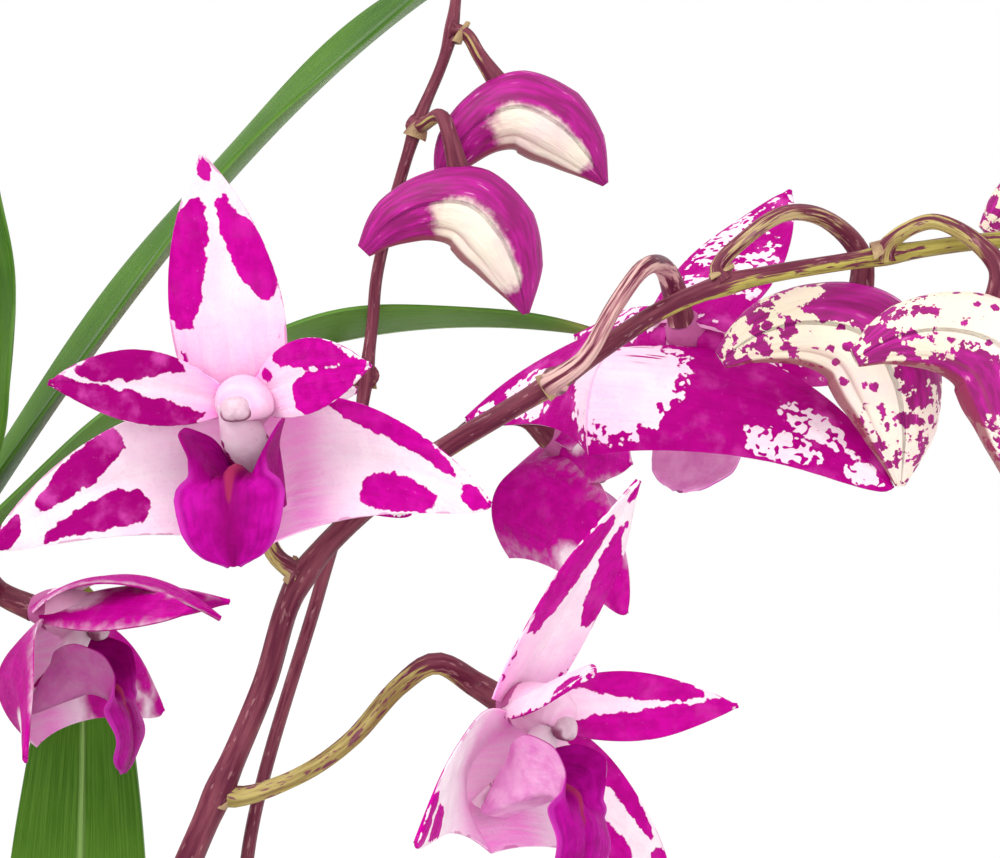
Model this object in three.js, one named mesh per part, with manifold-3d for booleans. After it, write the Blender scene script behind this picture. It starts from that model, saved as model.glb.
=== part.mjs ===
// A potted pink rock orchid in flower: a plain clay pot of bark, eight canes, their leaves,
// and three arching flower stems that carry open blooms and horn-shaped buds.
// Millimetres, +Z up. The origin is the middle of the pot's flat base, and the blooms'
// best side looks along -Y.
import * as THREE from "three";
import { ConvexGeometry } from "three/addons/geometries/ConvexGeometry.js";
import { mergeVertices } from "three/addons/utils/BufferGeometryUtils.js";
import Module from "manifold-3d";

const wasm = await Module();
wasm.setup();

// Driving sizes
const POT_HEIGHT = 102;
const POT_RIM_RADIUS = 58;
const POT_BASE_RADIUS = 41;
const POT_WALL = 4.5;
const POT_FLOOR = 7;
const RIM_BAND_HEIGHT = 23;
const BARK_TOP = 86;
const CHIP_COUNT = 40;
const CANE_FOOT = 72;
const SEAT_GAP = 0.3;
const PETAL_THICKNESS = 0.6;
const LEAF_THICKNESS = 0.9;
const RANDOM_SEED = 20417;

// Finishes
const CLAY = new THREE.MeshStandardMaterial({ color: 0xb9714f, roughness: 0.9 });
const BARK = new THREE.MeshStandardMaterial({ color: 0x6b4630, roughness: 0.95 });
const CANE_GREEN = new THREE.MeshStandardMaterial({ color: 0x7d8f45, roughness: 0.6 });
const LEAF_GREEN = new THREE.MeshStandardMaterial({ color: 0x4f8a33, roughness: 0.45 });
const STEM_PURPLE = new THREE.MeshStandardMaterial({ color: 0x7a3a4c, roughness: 0.5 });
const PETAL_PINK = new THREE.MeshStandardMaterial({ color: 0xe6a8d4, roughness: 0.55 });
const LIP_MAGENTA = new THREE.MeshStandardMaterial({ color: 0x8f0a86, roughness: 0.5 });
const BUD_CREAM = new THREE.MeshStandardMaterial({ color: 0xd79ab0, roughness: 0.5 });

const orchid = new THREE.Group();
const vec = (x, y, z) => new THREE.Vector3(x, y, z);
const radians = THREE.MathUtils.degToRad;
const mix = THREE.MathUtils.lerp;

function addPiece(name, geometry, material) {
  const mesh = new THREE.Mesh(geometry, material);
  mesh.name = name;
  orchid.add(mesh);
}

// Repeatable random numbers from 0 to 1.
function randomSource(seed) {
  let state = seed;
  return () => {
    state = (state * 16807) % 2147483647;
    return state / 2147483647;
  };
}

// A closed geometry as a solid that can be joined and cut.
function solidFrom(geometry) {
  const bare = new THREE.BufferGeometry();
  bare.setAttribute("position", geometry.getAttribute("position").clone());
  if (geometry.index) bare.setIndex(geometry.index.clone());
  const merged = mergeVertices(bare, 1e-4);
  return new wasm.Manifold(
    new wasm.Mesh({
      numProp: 3,
      vertProperties: new Float32Array(merged.attributes.position.array),
      triVerts: new Uint32Array(merged.index.array),
    }),
  );
}

function geometryFrom(solid) {
  const mesh = solid.getMesh();
  const geometry = new THREE.BufferGeometry();
  geometry.setAttribute("position", new THREE.BufferAttribute(mesh.vertProperties, 3));
  geometry.setIndex(new THREE.BufferAttribute(mesh.triVerts, 1));
  return geometry;
}

// The largest closed body of a joined solid: a loose scrap is dropped.
function largestBody(solid) {
  return solid.decompose().reduce((a, b) => (a.volume() > b.volume() ? a : b));
}

function fuse(geometries) {
  const joined = geometries.map(solidFrom).reduce((a, b) => a.add(b));
  return geometryFrom(largestBody(joined));
}

// A closed skin through rings of equal length, with a fan over each end.
function loftGeometry(rings) {
  const sides = rings[0].length;
  const positions = [];
  const index = [];
  const centre = (ring) =>
    ring.reduce((sum, p) => sum.add(p), vec(0, 0, 0)).divideScalar(sides);
  rings.flat().forEach((p) => positions.push(p.x, p.y, p.z));
  for (let r = 0; r + 1 < rings.length; r++)
    for (let s = 0; s < sides; s++) {
      const a = r * sides + s;
      const b = r * sides + ((s + 1) % sides);
      index.push(a, b, b + sides, a, b + sides, a + sides);
    }
  const first = rings.length * sides;
  const ends = [centre(rings[0]), centre(rings.at(-1))];
  ends.forEach((p) => positions.push(p.x, p.y, p.z));
  const lastRing = (rings.length - 1) * sides;
  for (let s = 0; s < sides; s++) {
    const next = (s + 1) % sides;
    index.push(first, next, s);
    index.push(first + 1, lastRing + s, lastRing + next);
  }
  const geometry = new THREE.BufferGeometry();
  geometry.setAttribute("position", new THREE.Float32BufferAttribute(positions, 3));
  geometry.setIndex(index);
  return geometry;
}

// A round stem along points. Its radius and flatness are read at each step.
function stemGeometry(points, radii, steps, sides, flatness = 1) {
  const curve = new THREE.CatmullRomCurve3(points, false, "centripetal");
  const frames = curve.computeFrenetFrames(steps);
  const rings = [];
  for (let i = 0; i <= steps; i++) {
    const t = i / steps;
    const at = curve.getPointAt(t);
    const place = t * (radii.length - 1);
    const low = Math.min(Math.floor(place), radii.length - 2);
    const radius = mix(radii[low], radii[low + 1], place - low);
    const ring = [];
    for (let s = 0; s < sides; s++) {
      const angle = (s / sides) * Math.PI * 2;
      ring.push(
        at
          .clone()
          .addScaledVector(frames.normals[i], Math.cos(angle) * radius)
          .addScaledVector(frames.binormals[i], Math.sin(angle) * radius * flatness),
      );
    }
    rings.push(ring);
  }
  return loftGeometry(rings);
}

// A sheet of even thickness through surface(t, v), t from 0 to 1 and v from -1 to 1.
// Both faces are split into triangles alike.
function sheetGeometry(surface, along, across, thickness) {
  const grid = [];
  for (let i = 0; i <= along; i++) {
    const row = [];
    for (let j = 0; j <= across; j++) row.push(surface(i / along, (2 * j) / across - 1));
    grid.push(row);
  }
  const clamp = (k, top) => Math.min(Math.max(k, 0), top);
  const normalAt = (i, j) => {
    const du = grid[clamp(i + 1, along)][j].clone().sub(grid[clamp(i - 1, along)][j]);
    const dv = grid[i][clamp(j + 1, across)].clone().sub(grid[i][clamp(j - 1, across)]);
    return du.cross(dv).normalize();
  };
  const positions = [];
  for (const side of [1, -1])
    for (let i = 0; i <= along; i++)
      for (let j = 0; j <= across; j++) {
        const lift = normalAt(i, j).multiplyScalar((side * thickness) / 2);
        const p = grid[i][j].clone().add(lift);
        positions.push(p.x, p.y, p.z);
      }
  const under = (along + 1) * (across + 1);
  const id = (i, j) => i * (across + 1) + j;
  const index = [];
  for (let i = 0; i < along; i++)
    for (let j = 0; j < across; j++) {
      const [a, b, c, d] = [id(i, j), id(i + 1, j), id(i + 1, j + 1), id(i, j + 1)];
      index.push(a, b, c, a, c, d);
      index.push(under + a, under + c, under + b, under + a, under + d, under + c);
    }
  const wall = (a, b) => index.push(a, under + a, under + b, a, under + b, b);
  for (let i = 0; i < along; i++) {
    wall(id(i, 0), id(i + 1, 0));
    wall(id(i + 1, across), id(i, across));
  }
  for (let j = 0; j < across; j++) {
    wall(id(0, j + 1), id(0, j));
    wall(id(along, j), id(along, j + 1));
  }
  const geometry = new THREE.BufferGeometry();
  geometry.setAttribute("position", new THREE.Float32BufferAttribute(positions, 3));
  geometry.setIndex(index);
  return geometry;
}

function bezier(a, b, c, t) {
  const s = 1 - t;
  return vec(0, 0, 0)
    .addScaledVector(a, s * s)
    .addScaledVector(b, 2 * s * t)
    .addScaledVector(c, t * t);
}

// Value at t on a smooth line through evenly listed [t, value] pairs.
function valueAlong(pairs, t) {
  let k = 0;
  while (k < pairs.length - 2 && t > pairs[k + 1][0]) k++;
  const [[t0, a], [t1, b]] = [pairs[k], pairs[k + 1]];
  return mix(a, b, THREE.MathUtils.smoothstep(t, t0, t1));
}

// Local axes of a bloom or bud: x to its right, y up and z out of its face, seen from the
// front. Azimuth 0 faces -Y and turns towards +X, and roll turns it anticlockwise.
function facingMatrix(centre, azimuth, elevation, roll) {
  const [a, e, r] = [azimuth, elevation, roll].map(radians);
  const out = vec(Math.sin(a) * Math.cos(e), -Math.cos(a) * Math.cos(e), Math.sin(e));
  const right = vec(0, 0, 1).cross(out).normalize().applyAxisAngle(out, r);
  const up = out.clone().cross(right);
  return new THREE.Matrix4().makeBasis(right, up, out).setPosition(centre);
}

// Clay pot: a thrown wall with a collar, and four drain holes round the solid middle
function makePot() {
  const inner = POT_RIM_RADIUS - POT_WALL;
  const collar = POT_HEIGHT - RIM_BAND_HEIGHT;
  const shoulder = POT_RIM_RADIUS - 3.5;
  const profile = [
    [0, 0],
    [POT_BASE_RADIUS - 1.5, 0],
    [POT_BASE_RADIUS, 1.5],
    [shoulder, collar],
    [POT_RIM_RADIUS - 0.6, collar + 1],
    [POT_RIM_RADIUS, collar + 3],
    [POT_RIM_RADIUS + 0.5, POT_HEIGHT - 1.5],
    [POT_RIM_RADIUS - 1.2, POT_HEIGHT],
    [inner + 1, POT_HEIGHT],
    [inner, POT_HEIGHT - 1.5],
    [inner - 3.2, collar],
    [POT_BASE_RADIUS - POT_WALL, POT_FLOOR],
    [0, POT_FLOOR],
  ];
  const outline = profile.map(([r, z]) => new THREE.Vector2(r, z));
  const pot = new THREE.LatheGeometry(outline, 36).rotateX(Math.PI / 2);
  const holes = [0, 1, 2, 3].map((k) => {
    const angle = (k / 4) * Math.PI * 2 + Math.PI / 4;
    const hole = new THREE.CylinderGeometry(4.5, 4.5, 3 * POT_FLOOR, 10);
    return hole.rotateX(Math.PI / 2).translate(22 * Math.cos(angle), 22 * Math.sin(angle), 0);
  });
  const drilled = holes.map(solidFrom).reduce((a, b) => a.subtract(b), solidFrom(pot));
  return geometryFrom(drilled);
}

// Radius inside the pot's wall at a height.
function potBore(z) {
  const collar = POT_HEIGHT - RIM_BAND_HEIGHT;
  const inner = POT_RIM_RADIUS - POT_WALL;
  if (z < collar)
    return mix(POT_BASE_RADIUS - POT_WALL, inner - 3.2, (z - POT_FLOOR) / (collar - POT_FLOOR));
  return mix(inner - 3.2, inner, (z - collar) / (POT_HEIGHT - 1.5 - collar));
}

// Canes: swollen, jointed stems that taper from foot to tip
const CANES = [
  { name: "cane_front", foot: [-5, -20], top: [-14, -19, 224], girth: 6.6 },
  { name: "cane_tall", foot: [-16, 6], top: [-27, 16, 286], girth: 7.2 },
  { name: "cane_middle", foot: [2, 4], top: [4, 12, 230], girth: 6.8 },
  { name: "cane_left", foot: [-25, -14], top: [-45, -16, 232], girth: 6.6 },
  { name: "cane_right", foot: [22, 2], top: [36, 6, 196], girth: 6.4 },
  { name: "cane_low", foot: [15, -24], top: [25, -31, 168], girth: 5.8 },
  { name: "cane_rear", foot: [-12, 26], top: [-30, 42, 212], girth: 6.2 },
  { name: "cane_old", foot: [16, 24], top: [24, 38, 182], girth: 5.6 },
];

function canePoints({ foot, top }) {
  const [x, y] = foot;
  const lean = vec(mix(x, top[0], 0.35), mix(y, top[1], 0.35), mix(CANE_FOOT, top[2], 0.5));
  return [vec(x, y, CANE_FOOT), lean, vec(...top)];
}

function caneRadii(girth, extra = 0) {
  const shape = [0.8, 1, 1.02, 0.93, 0.82, 0.72, 0.62, 0.5, 0.4];
  return shape.map((k) => girth * k + extra);
}

function makeCane(cane, extra = 0) {
  return stemGeometry(canePoints(cane), caneRadii(cane.girth, extra), 8, 8);
}

// Bark: a filling of coarse chips, with a plain hole where each cane stands
function makeBark() {
  const random = randomSource(RANDOM_SEED);
  const low = POT_FLOOR + SEAT_GAP;
  const fit = 0.5;
  const wallLine = [low, BARK_TOP].map((z) => new THREE.Vector2(potBore(z) - fit, z));
  const outline = [
    new THREE.Vector2(0, low),
    ...wallLine,
    new THREE.Vector2(potBore(BARK_TOP) * 0.6, BARK_TOP + 2),
    new THREE.Vector2(0, BARK_TOP + 3),
  ];
  const fill = new THREE.LatheGeometry(outline, 24).rotateX(Math.PI / 2);
  const chips = [];
  for (let k = 0; k < CHIP_COUNT; k++) {
    // A sunflower spiral spreads the chips evenly over the top.
    const reach = (potBore(BARK_TOP) - 8) * Math.sqrt((k + 0.5) / CHIP_COUNT);
    const angle = k * 2.39996 + random() * 0.5;
    const corners = [];
    const size = vec(5.4 + 3 * random(), 3.6 + 2 * random(), 2 + 1.2 * random());
    for (let c = 0; c < 8; c++) {
      const corner = vec(c & 1 ? 1 : -1, c & 2 ? 1 : -1, c & 4 ? 1 : -1);
      corners.push(corner.multiply(size).multiplyScalar(0.75 + 0.3 * random()));
    }
    const turn = new THREE.Euler((random() - 0.5) * 0.9, (random() - 0.5) * 0.9, random() * 6.3);
    const chip = new ConvexGeometry(corners).applyMatrix4(
      new THREE.Matrix4().makeRotationFromEuler(turn),
    );
    const height = BARK_TOP + 2.2 - 2.5 * (reach / potBore(BARK_TOP)) ** 2 + random();
    chips.push(chip.translate(reach * Math.cos(angle), reach * Math.sin(angle), height));
  }
  const joined = [fill, ...chips].map(solidFrom).reduce((a, b) => a.add(b));
  const bored = CANES.map((cane) => solidFrom(makeCane(cane, 0.7)));
  return geometryFrom(largestBody(bored.reduce((a, b) => a.subtract(b), joined)));
}

// Leaves: long straps folded along the rib. Each leaves its cane near the tip
function leafSurface({ line, halfWidth, fold = 0.28, turn = 0, blunt = 0.62 }) {
  const [start, bend, tip] = line.map((p) => vec(...p));
  const run = tip.clone().sub(start).setZ(0).normalize();
  return (t, v) => {
    const at = bezier(start, bend, tip, t);
    const ahead = bezier(start, bend, tip, t + 0.01).sub(at).normalize();
    const side = vec(-run.y, run.x, 0).applyAxisAngle(ahead, radians(turn));
    const face = side.clone().cross(ahead);
    const width = halfWidth * Math.max(Math.sin(Math.PI * (0.14 + 0.86 * t)) ** blunt, 0.1);
    return at
      .addScaledVector(side, width * v)
      .addScaledVector(face, -width * fold * Math.abs(v));
  };
}

// The four leaves nearest the best bloom are set by their start, bend and tip. The others
// leave a cane below its tip, head out at an angle from +X, rise and then droop.
const PLACED_LEAVES = [
  {
    line: [
      [-24.6, 18.5, 289],
      [7.4, 22, 342.1],
      [36, 26, 346.3],
    ],
    halfWidth: 4.9,
    turn: 9,
  },
  {
    line: [
      [-22.4, 14.6, 288.5],
      [-1.5, 17, 312.8],
      [28.9, 17, 308.2],
    ],
    halfWidth: 4.8,
    turn: -10,
  },
  {
    line: [
      [-28.2, 14.6, 287.2],
      [-15.5, 13, 300],
      [-22, 12, 326],
    ],
    halfWidth: 2.8,
    turn: 64,
  },
  {
    line: [
      [-13.4, -15.2, 221.5],
      [-12.6, 8, 250],
      [-13, 13, 287],
    ],
    halfWidth: 6,
    fold: 0.35,
    blunt: 0.45,
  },
];

const CANE_LEAVES = [
  { on: "cane_tall", heading: 158, rise: 48, length: 90, droop: 62, halfWidth: 6.6, back: 9 },
  { on: "cane_tall", heading: 236, rise: 30, length: 78, droop: 66, halfWidth: 6.4, back: 14 },
  { on: "cane_front", heading: 262, rise: 20, length: 72, droop: 58, halfWidth: 7, back: 6 },
  { on: "cane_front", heading: 318, rise: 2, length: 74, droop: 36, halfWidth: 7, back: 11 },
  { on: "cane_left", heading: 196, rise: 34, length: 88, droop: 62, halfWidth: 7.2, back: 4 },
  { on: "cane_left", heading: 246, rise: 18, length: 80, droop: 50, halfWidth: 6.8, back: 9 },
  { on: "cane_left", heading: 148, rise: 24, length: 80, droop: 56, halfWidth: 6.6, back: 14 },
  { on: "cane_middle", heading: 22, rise: 16, length: 78, droop: 50, halfWidth: 6.4, back: 5 },
  { on: "cane_middle", heading: 66, rise: 30, length: 80, droop: 62, halfWidth: 6.8, back: 11 },
  { on: "cane_right", heading: 352, rise: 46, length: 84, droop: 74, halfWidth: 7.2, back: 3 },
  { on: "cane_right", heading: 52, rise: 34, length: 76, droop: 66, halfWidth: 6.6, back: 8 },
  { on: "cane_right", heading: 286, rise: 24, length: 70, droop: 60, halfWidth: 6.6, back: 13 },
  { on: "cane_low", heading: 346, rise: 36, length: 72, droop: 70, halfWidth: 6.4, back: 3 },
  { on: "cane_low", heading: 252, rise: 30, length: 64, droop: 56, halfWidth: 6, back: 8 },
  { on: "cane_rear", heading: 150, rise: 50, length: 84, droop: 72, halfWidth: 7, back: 3 },
  { on: "cane_rear", heading: 76, rise: 40, length: 76, droop: 66, halfWidth: 6.4, back: 8 },
  { on: "cane_rear", heading: 206, rise: 10, length: 70, droop: 44, halfWidth: 6.4, back: 15 },
  { on: "cane_old", heading: 40, rise: 50, length: 64, droop: 72, halfWidth: 5.8, back: 3 },
];

function caneLeafLine({ on, heading, rise, length, droop, back }) {
  const cane = CANES.find((c) => c.name === on);
  const curve = new THREE.CatmullRomCurve3(canePoints(cane), false, "centripetal");
  const place = 1 - back / curve.getLength();
  const radii = caneRadii(cane.girth);
  const slot = place * (radii.length - 1);
  const low = Math.min(Math.floor(slot), radii.length - 2);
  const caneRadius = mix(radii[low], radii[low + 1], slot - low);
  const out = caneRadius + SEAT_GAP + (LEAF_THICKNESS / 2) * Math.sin(radians(rise)) + 0.1;
  const level = vec(Math.cos(radians(heading)), Math.sin(radians(heading)), 0);
  const start = curve.getPointAt(place).addScaledVector(level, out);
  const ends = [start];
  for (const slope of [rise, rise - droop].map(radians)) {
    const step = level.clone().multiplyScalar(Math.cos(slope)).setZ(Math.sin(slope));
    ends.push(ends.at(-1).clone().addScaledVector(step, length / 2));
  }
  return ends.map((p) => p.toArray());
}

function makeLeaf(leaf) {
  const line = leaf.line ?? caneLeafLine(leaf);
  return sheetGeometry(leafSurface({ ...leaf, line }), 6, 2, LEAF_THICKNESS);
}

// Blooms: two swept petals, an upper sepal, and two broad lower sepals whose bases join
// in a chin. The width of each runs from start to tip as a power of a sine.
function tepalSurface(tepal, bend = [0, 0, 0]) {
  const { base, control, tip, across, halfWidth, start, power, cup, flat = 0.5 } = tepal;
  const acrossDirection = vec(...across).normalize();
  const [a, b, c] = [base, control, tip].map((p) => vec(...p));
  b.addScaledVector(vec(...bend), 0.2);
  c.add(vec(...bend));
  return (t, v) => {
    const width = halfWidth * Math.max(Math.sin(Math.PI * mix(start, 1, t)), 0) ** power;
    const lift = (cup * (1 - t) ** 3 + flat * (1 - t)) * v * v;
    return bezier(a, b, c, t)
      .addScaledVector(acrossDirection, Math.max(width, 0.16) * v)
      .add(vec(0, 0, lift));
  };
}

const DORSAL_SEPAL = {
  base: [0, 0.6, -2],
  control: [0, 9.5, 1.8],
  tip: [0, 17.6, 4],
  across: [1, 0, 0],
  halfWidth: 4.1,
  start: 0.28,
  power: 0.8,
  cup: 0.3,
};

// The lower sepals' shared seam lies off the middle by chin.
function lateralSepal(side, chin = [0, 0, 0]) {
  return {
    base: [chin[0], -5.4 + chin[1], -4.4 + chin[2]],
    control: [side * 8.5, -2.5, 0.8],
    tip: [side * 17.6, -8.6, 4],
    across: [0, 1, 0],
    halfWidth: 4.9,
    start: 0.5,
    power: 0.6,
    cup: 3.1,
  };
}

// A petal of 13.4 mm, swung forward by sweep degrees. Its width points up, or as given.
function petal(side, sweep, across = [side * -0.1, 1, 0]) {
  const s = radians(sweep);
  const place = (reach, rise) => [
    side * (1.2 + reach * Math.cos(s)),
    0.3 + rise,
    0.2 + reach * Math.sin(s),
  ];
  const base = place(0, 0);
  base[2] -= 1.4;
  return {
    base,
    control: place(6.2, 1.9),
    tip: place(12.6, 2.2),
    across,
    halfWidth: 2.65,
    start: 0.12,
    power: 0.85,
    cup: 0.2,
    flat: 0.6,
  };
}

const COLUMN_LINE = [
  [0, 0.5, -2.4],
  [0, 0.6, -0.4],
  [0, 0.4, 1.6],
  [0, 0.1, 3.6],
];
const COLUMN_RADII = [1, 1.5, 1.95, 2, 1.3];
const FOOT_LINE = [
  [0, 0, 0.2],
  [0, -3.4, -1.8],
  [0, -7.6, -3.9],
];

// Points on a line, each moved by its share of the way along it times an offset.
function leaning(line, offset = [0, 0, 0]) {
  return line.map((p, k) => vec(...p).addScaledVector(vec(...offset), k / (line.length - 1)));
}

function bloomGeometry({ sweeps, bends = {}, twists = {}, chin, hood = [0, 0, 0], fine }) {
  const sheet = (tepal, bend, across = 2) => {
    const along = fine ? 5 : 4;
    return sheetGeometry(tepalSurface(tepal, bend), along, across, PETAL_THICKNESS);
  };
  return fuse([
    stemGeometry(leaning(COLUMN_LINE, hood), COLUMN_RADII, 4, 6),
    stemGeometry(leaning(FOOT_LINE, chin), [1.2, 0.9, 0.7], 2, 5),
    sheet(DORSAL_SEPAL, bends.dorsal),
    sheet(lateralSepal(-1, chin), bends.leftSepal, fine ? 4 : 2),
    sheet(lateralSepal(1, chin), bends.rightSepal, fine ? 4 : 2),
    sheet(petal(-1, sweeps[0], twists.left), bends.leftPetal),
    sheet(petal(1, sweeps[1], twists.right), bends.rightPetal),
  ]);
}

// Lip: a trough hinged at the chin, with an upright lobe each side and a broad front lobe
// that turns down.
const LIP_LINE = new THREE.CatmullRomCurve3(
  [
    [0, -7.5, -1.3],
    [0, -6.2, 1.2],
    [0, -5.2, 3.8],
    [0, -6.2, 6],
    [0, -8.8, 6.9],
    [0, -11.4, 6.4],
  ].map((p) => vec(...p)),
  false,
  "centripetal",
);
const LIP_HALF_WIDTH = [
  [0, 1.8],
  [0.22, 5],
  [0.44, 5.8],
  [0.54, 2.7],
  [0.68, 3.9],
  [0.86, 3.3],
  [1, 0.2],
];

// Each side lobe stands upright at its root and opens out to its own curl, in degrees
// from flat, at the front.
function lipPoint(t, v, curls) {
  const at = LIP_LINE.getPointAt(t);
  const ahead = LIP_LINE.getTangentAt(t);
  const raised = vec(1, 0, 0).cross(ahead).negate();
  const reach = Math.abs(v) * valueAlong(LIP_HALF_WIDTH, t);
  const lean = mix(84, v < 0 ? curls[0] : curls[1], THREE.MathUtils.smoothstep(t, 0.2, 0.42));
  const open = THREE.MathUtils.smoothstep(t, 0.48, 0.64);
  const curl = radians(mix(lean, -8, open));
  const floor = Math.min(reach, 1.5);
  const wall = reach - floor;
  const flare = 0.04 * wall * wall * (1 - open);
  return at
    .add(vec(Math.sign(v) * (floor + wall * Math.cos(curl) + 0.5 * flare), 0, 0))
    .addScaledVector(raised, wall * Math.sin(curl))
    .addScaledVector(ahead, flare);
}

function lipGeometry({ curls = [62, 62], chin = [0, 0, 0], lip = [0, 0, 0], fine }) {
  const [along, across] = fine ? [8, 6] : [8, 4];
  const surface = (t, v) => {
    const front = THREE.MathUtils.smoothstep(t, 0, 0.5);
    return lipPoint(t, v, curls).add(vec(...chin).lerp(vec(...lip), front));
  };
  return sheetGeometry(surface, along, across, PETAL_THICKNESS);
}

// Where each bloom's middle is, how it faces, how far its left and right petals sweep, how
// far the tips of its sepals and petals have moved as it aged, and how its petals' width
// points. The chin, the hood and the lip of some blooms lie off their middle.
const BLOOMS = [
  {
    name: "bloom_face",
    at: [2.6, -35, 301.8],
    face: [-2, 0, 4.7],
    sweeps: [26, 44],
    curls: [50, 62],
    bends: { dorsal: [-0.6, 0, 0], rightPetal: [0, -0.7, 0] },
    hood: [1.1, -0.5, 0],
    chin: [1.2, 0, 0],
    lip: [-0.5, 0, 0],
    fine: true,
  },
  {
    name: "bloom_side",
    at: [23.5, -31, 279.3],
    face: [56, -7.4, -9.5],
    sweeps: [55, 46],
    bends: {
      dorsal: [0.5, 0.5, 0.9],
      leftSepal: [0.1, -1.5, 0.3],
      rightSepal: [-0.1, -1.2, -0.1],
      leftPetal: [-0.3, 1.1, -0.5],
      rightPetal: [0.8, 1.2, 1.4],
    },
    twists: { left: [0.1, 1, 0.9], right: [-0.1, 1, -0.5] },
    fine: true,
  },
  {
    name: "bloom_back",
    at: [35.6, -17, 306.5],
    face: [156, -34, 9],
    sweeps: [24, 24],
    bends: {
      dorsal: [-0.7, 0, 0],
      leftSepal: [-0.9, 1, 0],
      rightSepal: [0, 1.2, -0.5],
    },
    chin: [3.6, -1.1, 0],
    lip: [-0.4, 2, 0.5],
    fine: true,
  },
  {
    name: "bloom_left",
    at: [-13.2, -5, 285.1],
    face: [78, -6.5, 2],
    sweeps: [72, 74],
    bends: { dorsal: [0, -16, 9] },
    twists: { left: [0.85, 0.6, 0], right: [-0.85, 0.6, 0] },
  },
  {
    name: "bloom_far",
    at: [27.3, 26, 297.9],
    face: [111, -21.8, 13.5],
    sweeps: [0, 30],
  },
  { name: "bloom_top_left", at: [-58, -26, 300], face: [-48, 2, -4], sweeps: [28, 28] },
  { name: "bloom_low_left", at: [-56, -8, 272], face: [-120, -8, 6], sweeps: [24, 30] },
  { name: "bloom_rear", at: [-4, 44, 302], face: [176, -2, 3], sweeps: [30, 34] },
];

// Buds: a closed horn, from the blunt chin over the shoulder to the beak. The stalk joins at
// its origin, the chin points to -x and the beak down.
const BUD_LINE = [
  [-10.3, -5.5, 0],
  [-7.4, -3.7, 0],
  [-3.6, -3, 0],
  [0, -4, 0],
  [2, -7.2, 0],
  [2.8, -10.8, 0],
  [2.9, -14.8, 0],
].map((p) => vec(...p));
const BUD_RADII = [1.1, 2.3, 3.2, 4.1, 4.1, 2.7, 0.5];

const BUDS = [
  { name: "bud_large", at: [47.9, -26.5, 310.6], face: [0, 0, 0], size: 1 },
  { name: "bud_edge", at: [56.8, -35, 309.4], face: [6, 0, -5], size: 0.95 },
  { name: "bud_upper", at: [65, -22, 321], face: [0, 0, 12], size: 0.84 },
  { name: "bud_end", at: [77, -29, 309], face: [20, 0, 28], size: 0.62 },
  { name: "bud_far_upper", at: [21, 12, 329], face: [0, 0, 35], size: 0.84 },
  { name: "bud_far_lower", at: [17.9, 7.5, 321.4], face: [0, 0, 14], size: 0.88 },
  { name: "bud_far_tip", at: [23.4, 13, 346.4], face: [-20, 0, 10], size: 0.6 },
  { name: "bud_left_upper", at: [-29, -23, 317], face: [30, 0, 8], size: 0.8 },
  { name: "bud_left_tip", at: [-58, -20, 330], face: [190, 0, 10], size: 0.6 },
];

function budGeometry(size) {
  return stemGeometry(BUD_LINE, BUD_RADII, 7, 8, 0.82).scale(size, size, size);
}

// Racemes: a main stem that leaves a cane's tip, with a stalk out to each bloom and bud
const STALK_SEAT = 2.4 + SEAT_GAP + 0.15;

function stalkEnd(flower) {
  const matrix = facingMatrix(vec(...flower.at), ...flower.face);
  const isBud = flower.size !== undefined;
  const seat = isBud ? vec(0, 0, 0) : vec(0, 0.5, -STALK_SEAT);
  const lead = isBud ? vec(0, 2.2, 0) : vec(0, 1.4, -STALK_SEAT - 2.2);
  return [lead.applyMatrix4(matrix), seat.applyMatrix4(matrix)];
}

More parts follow.
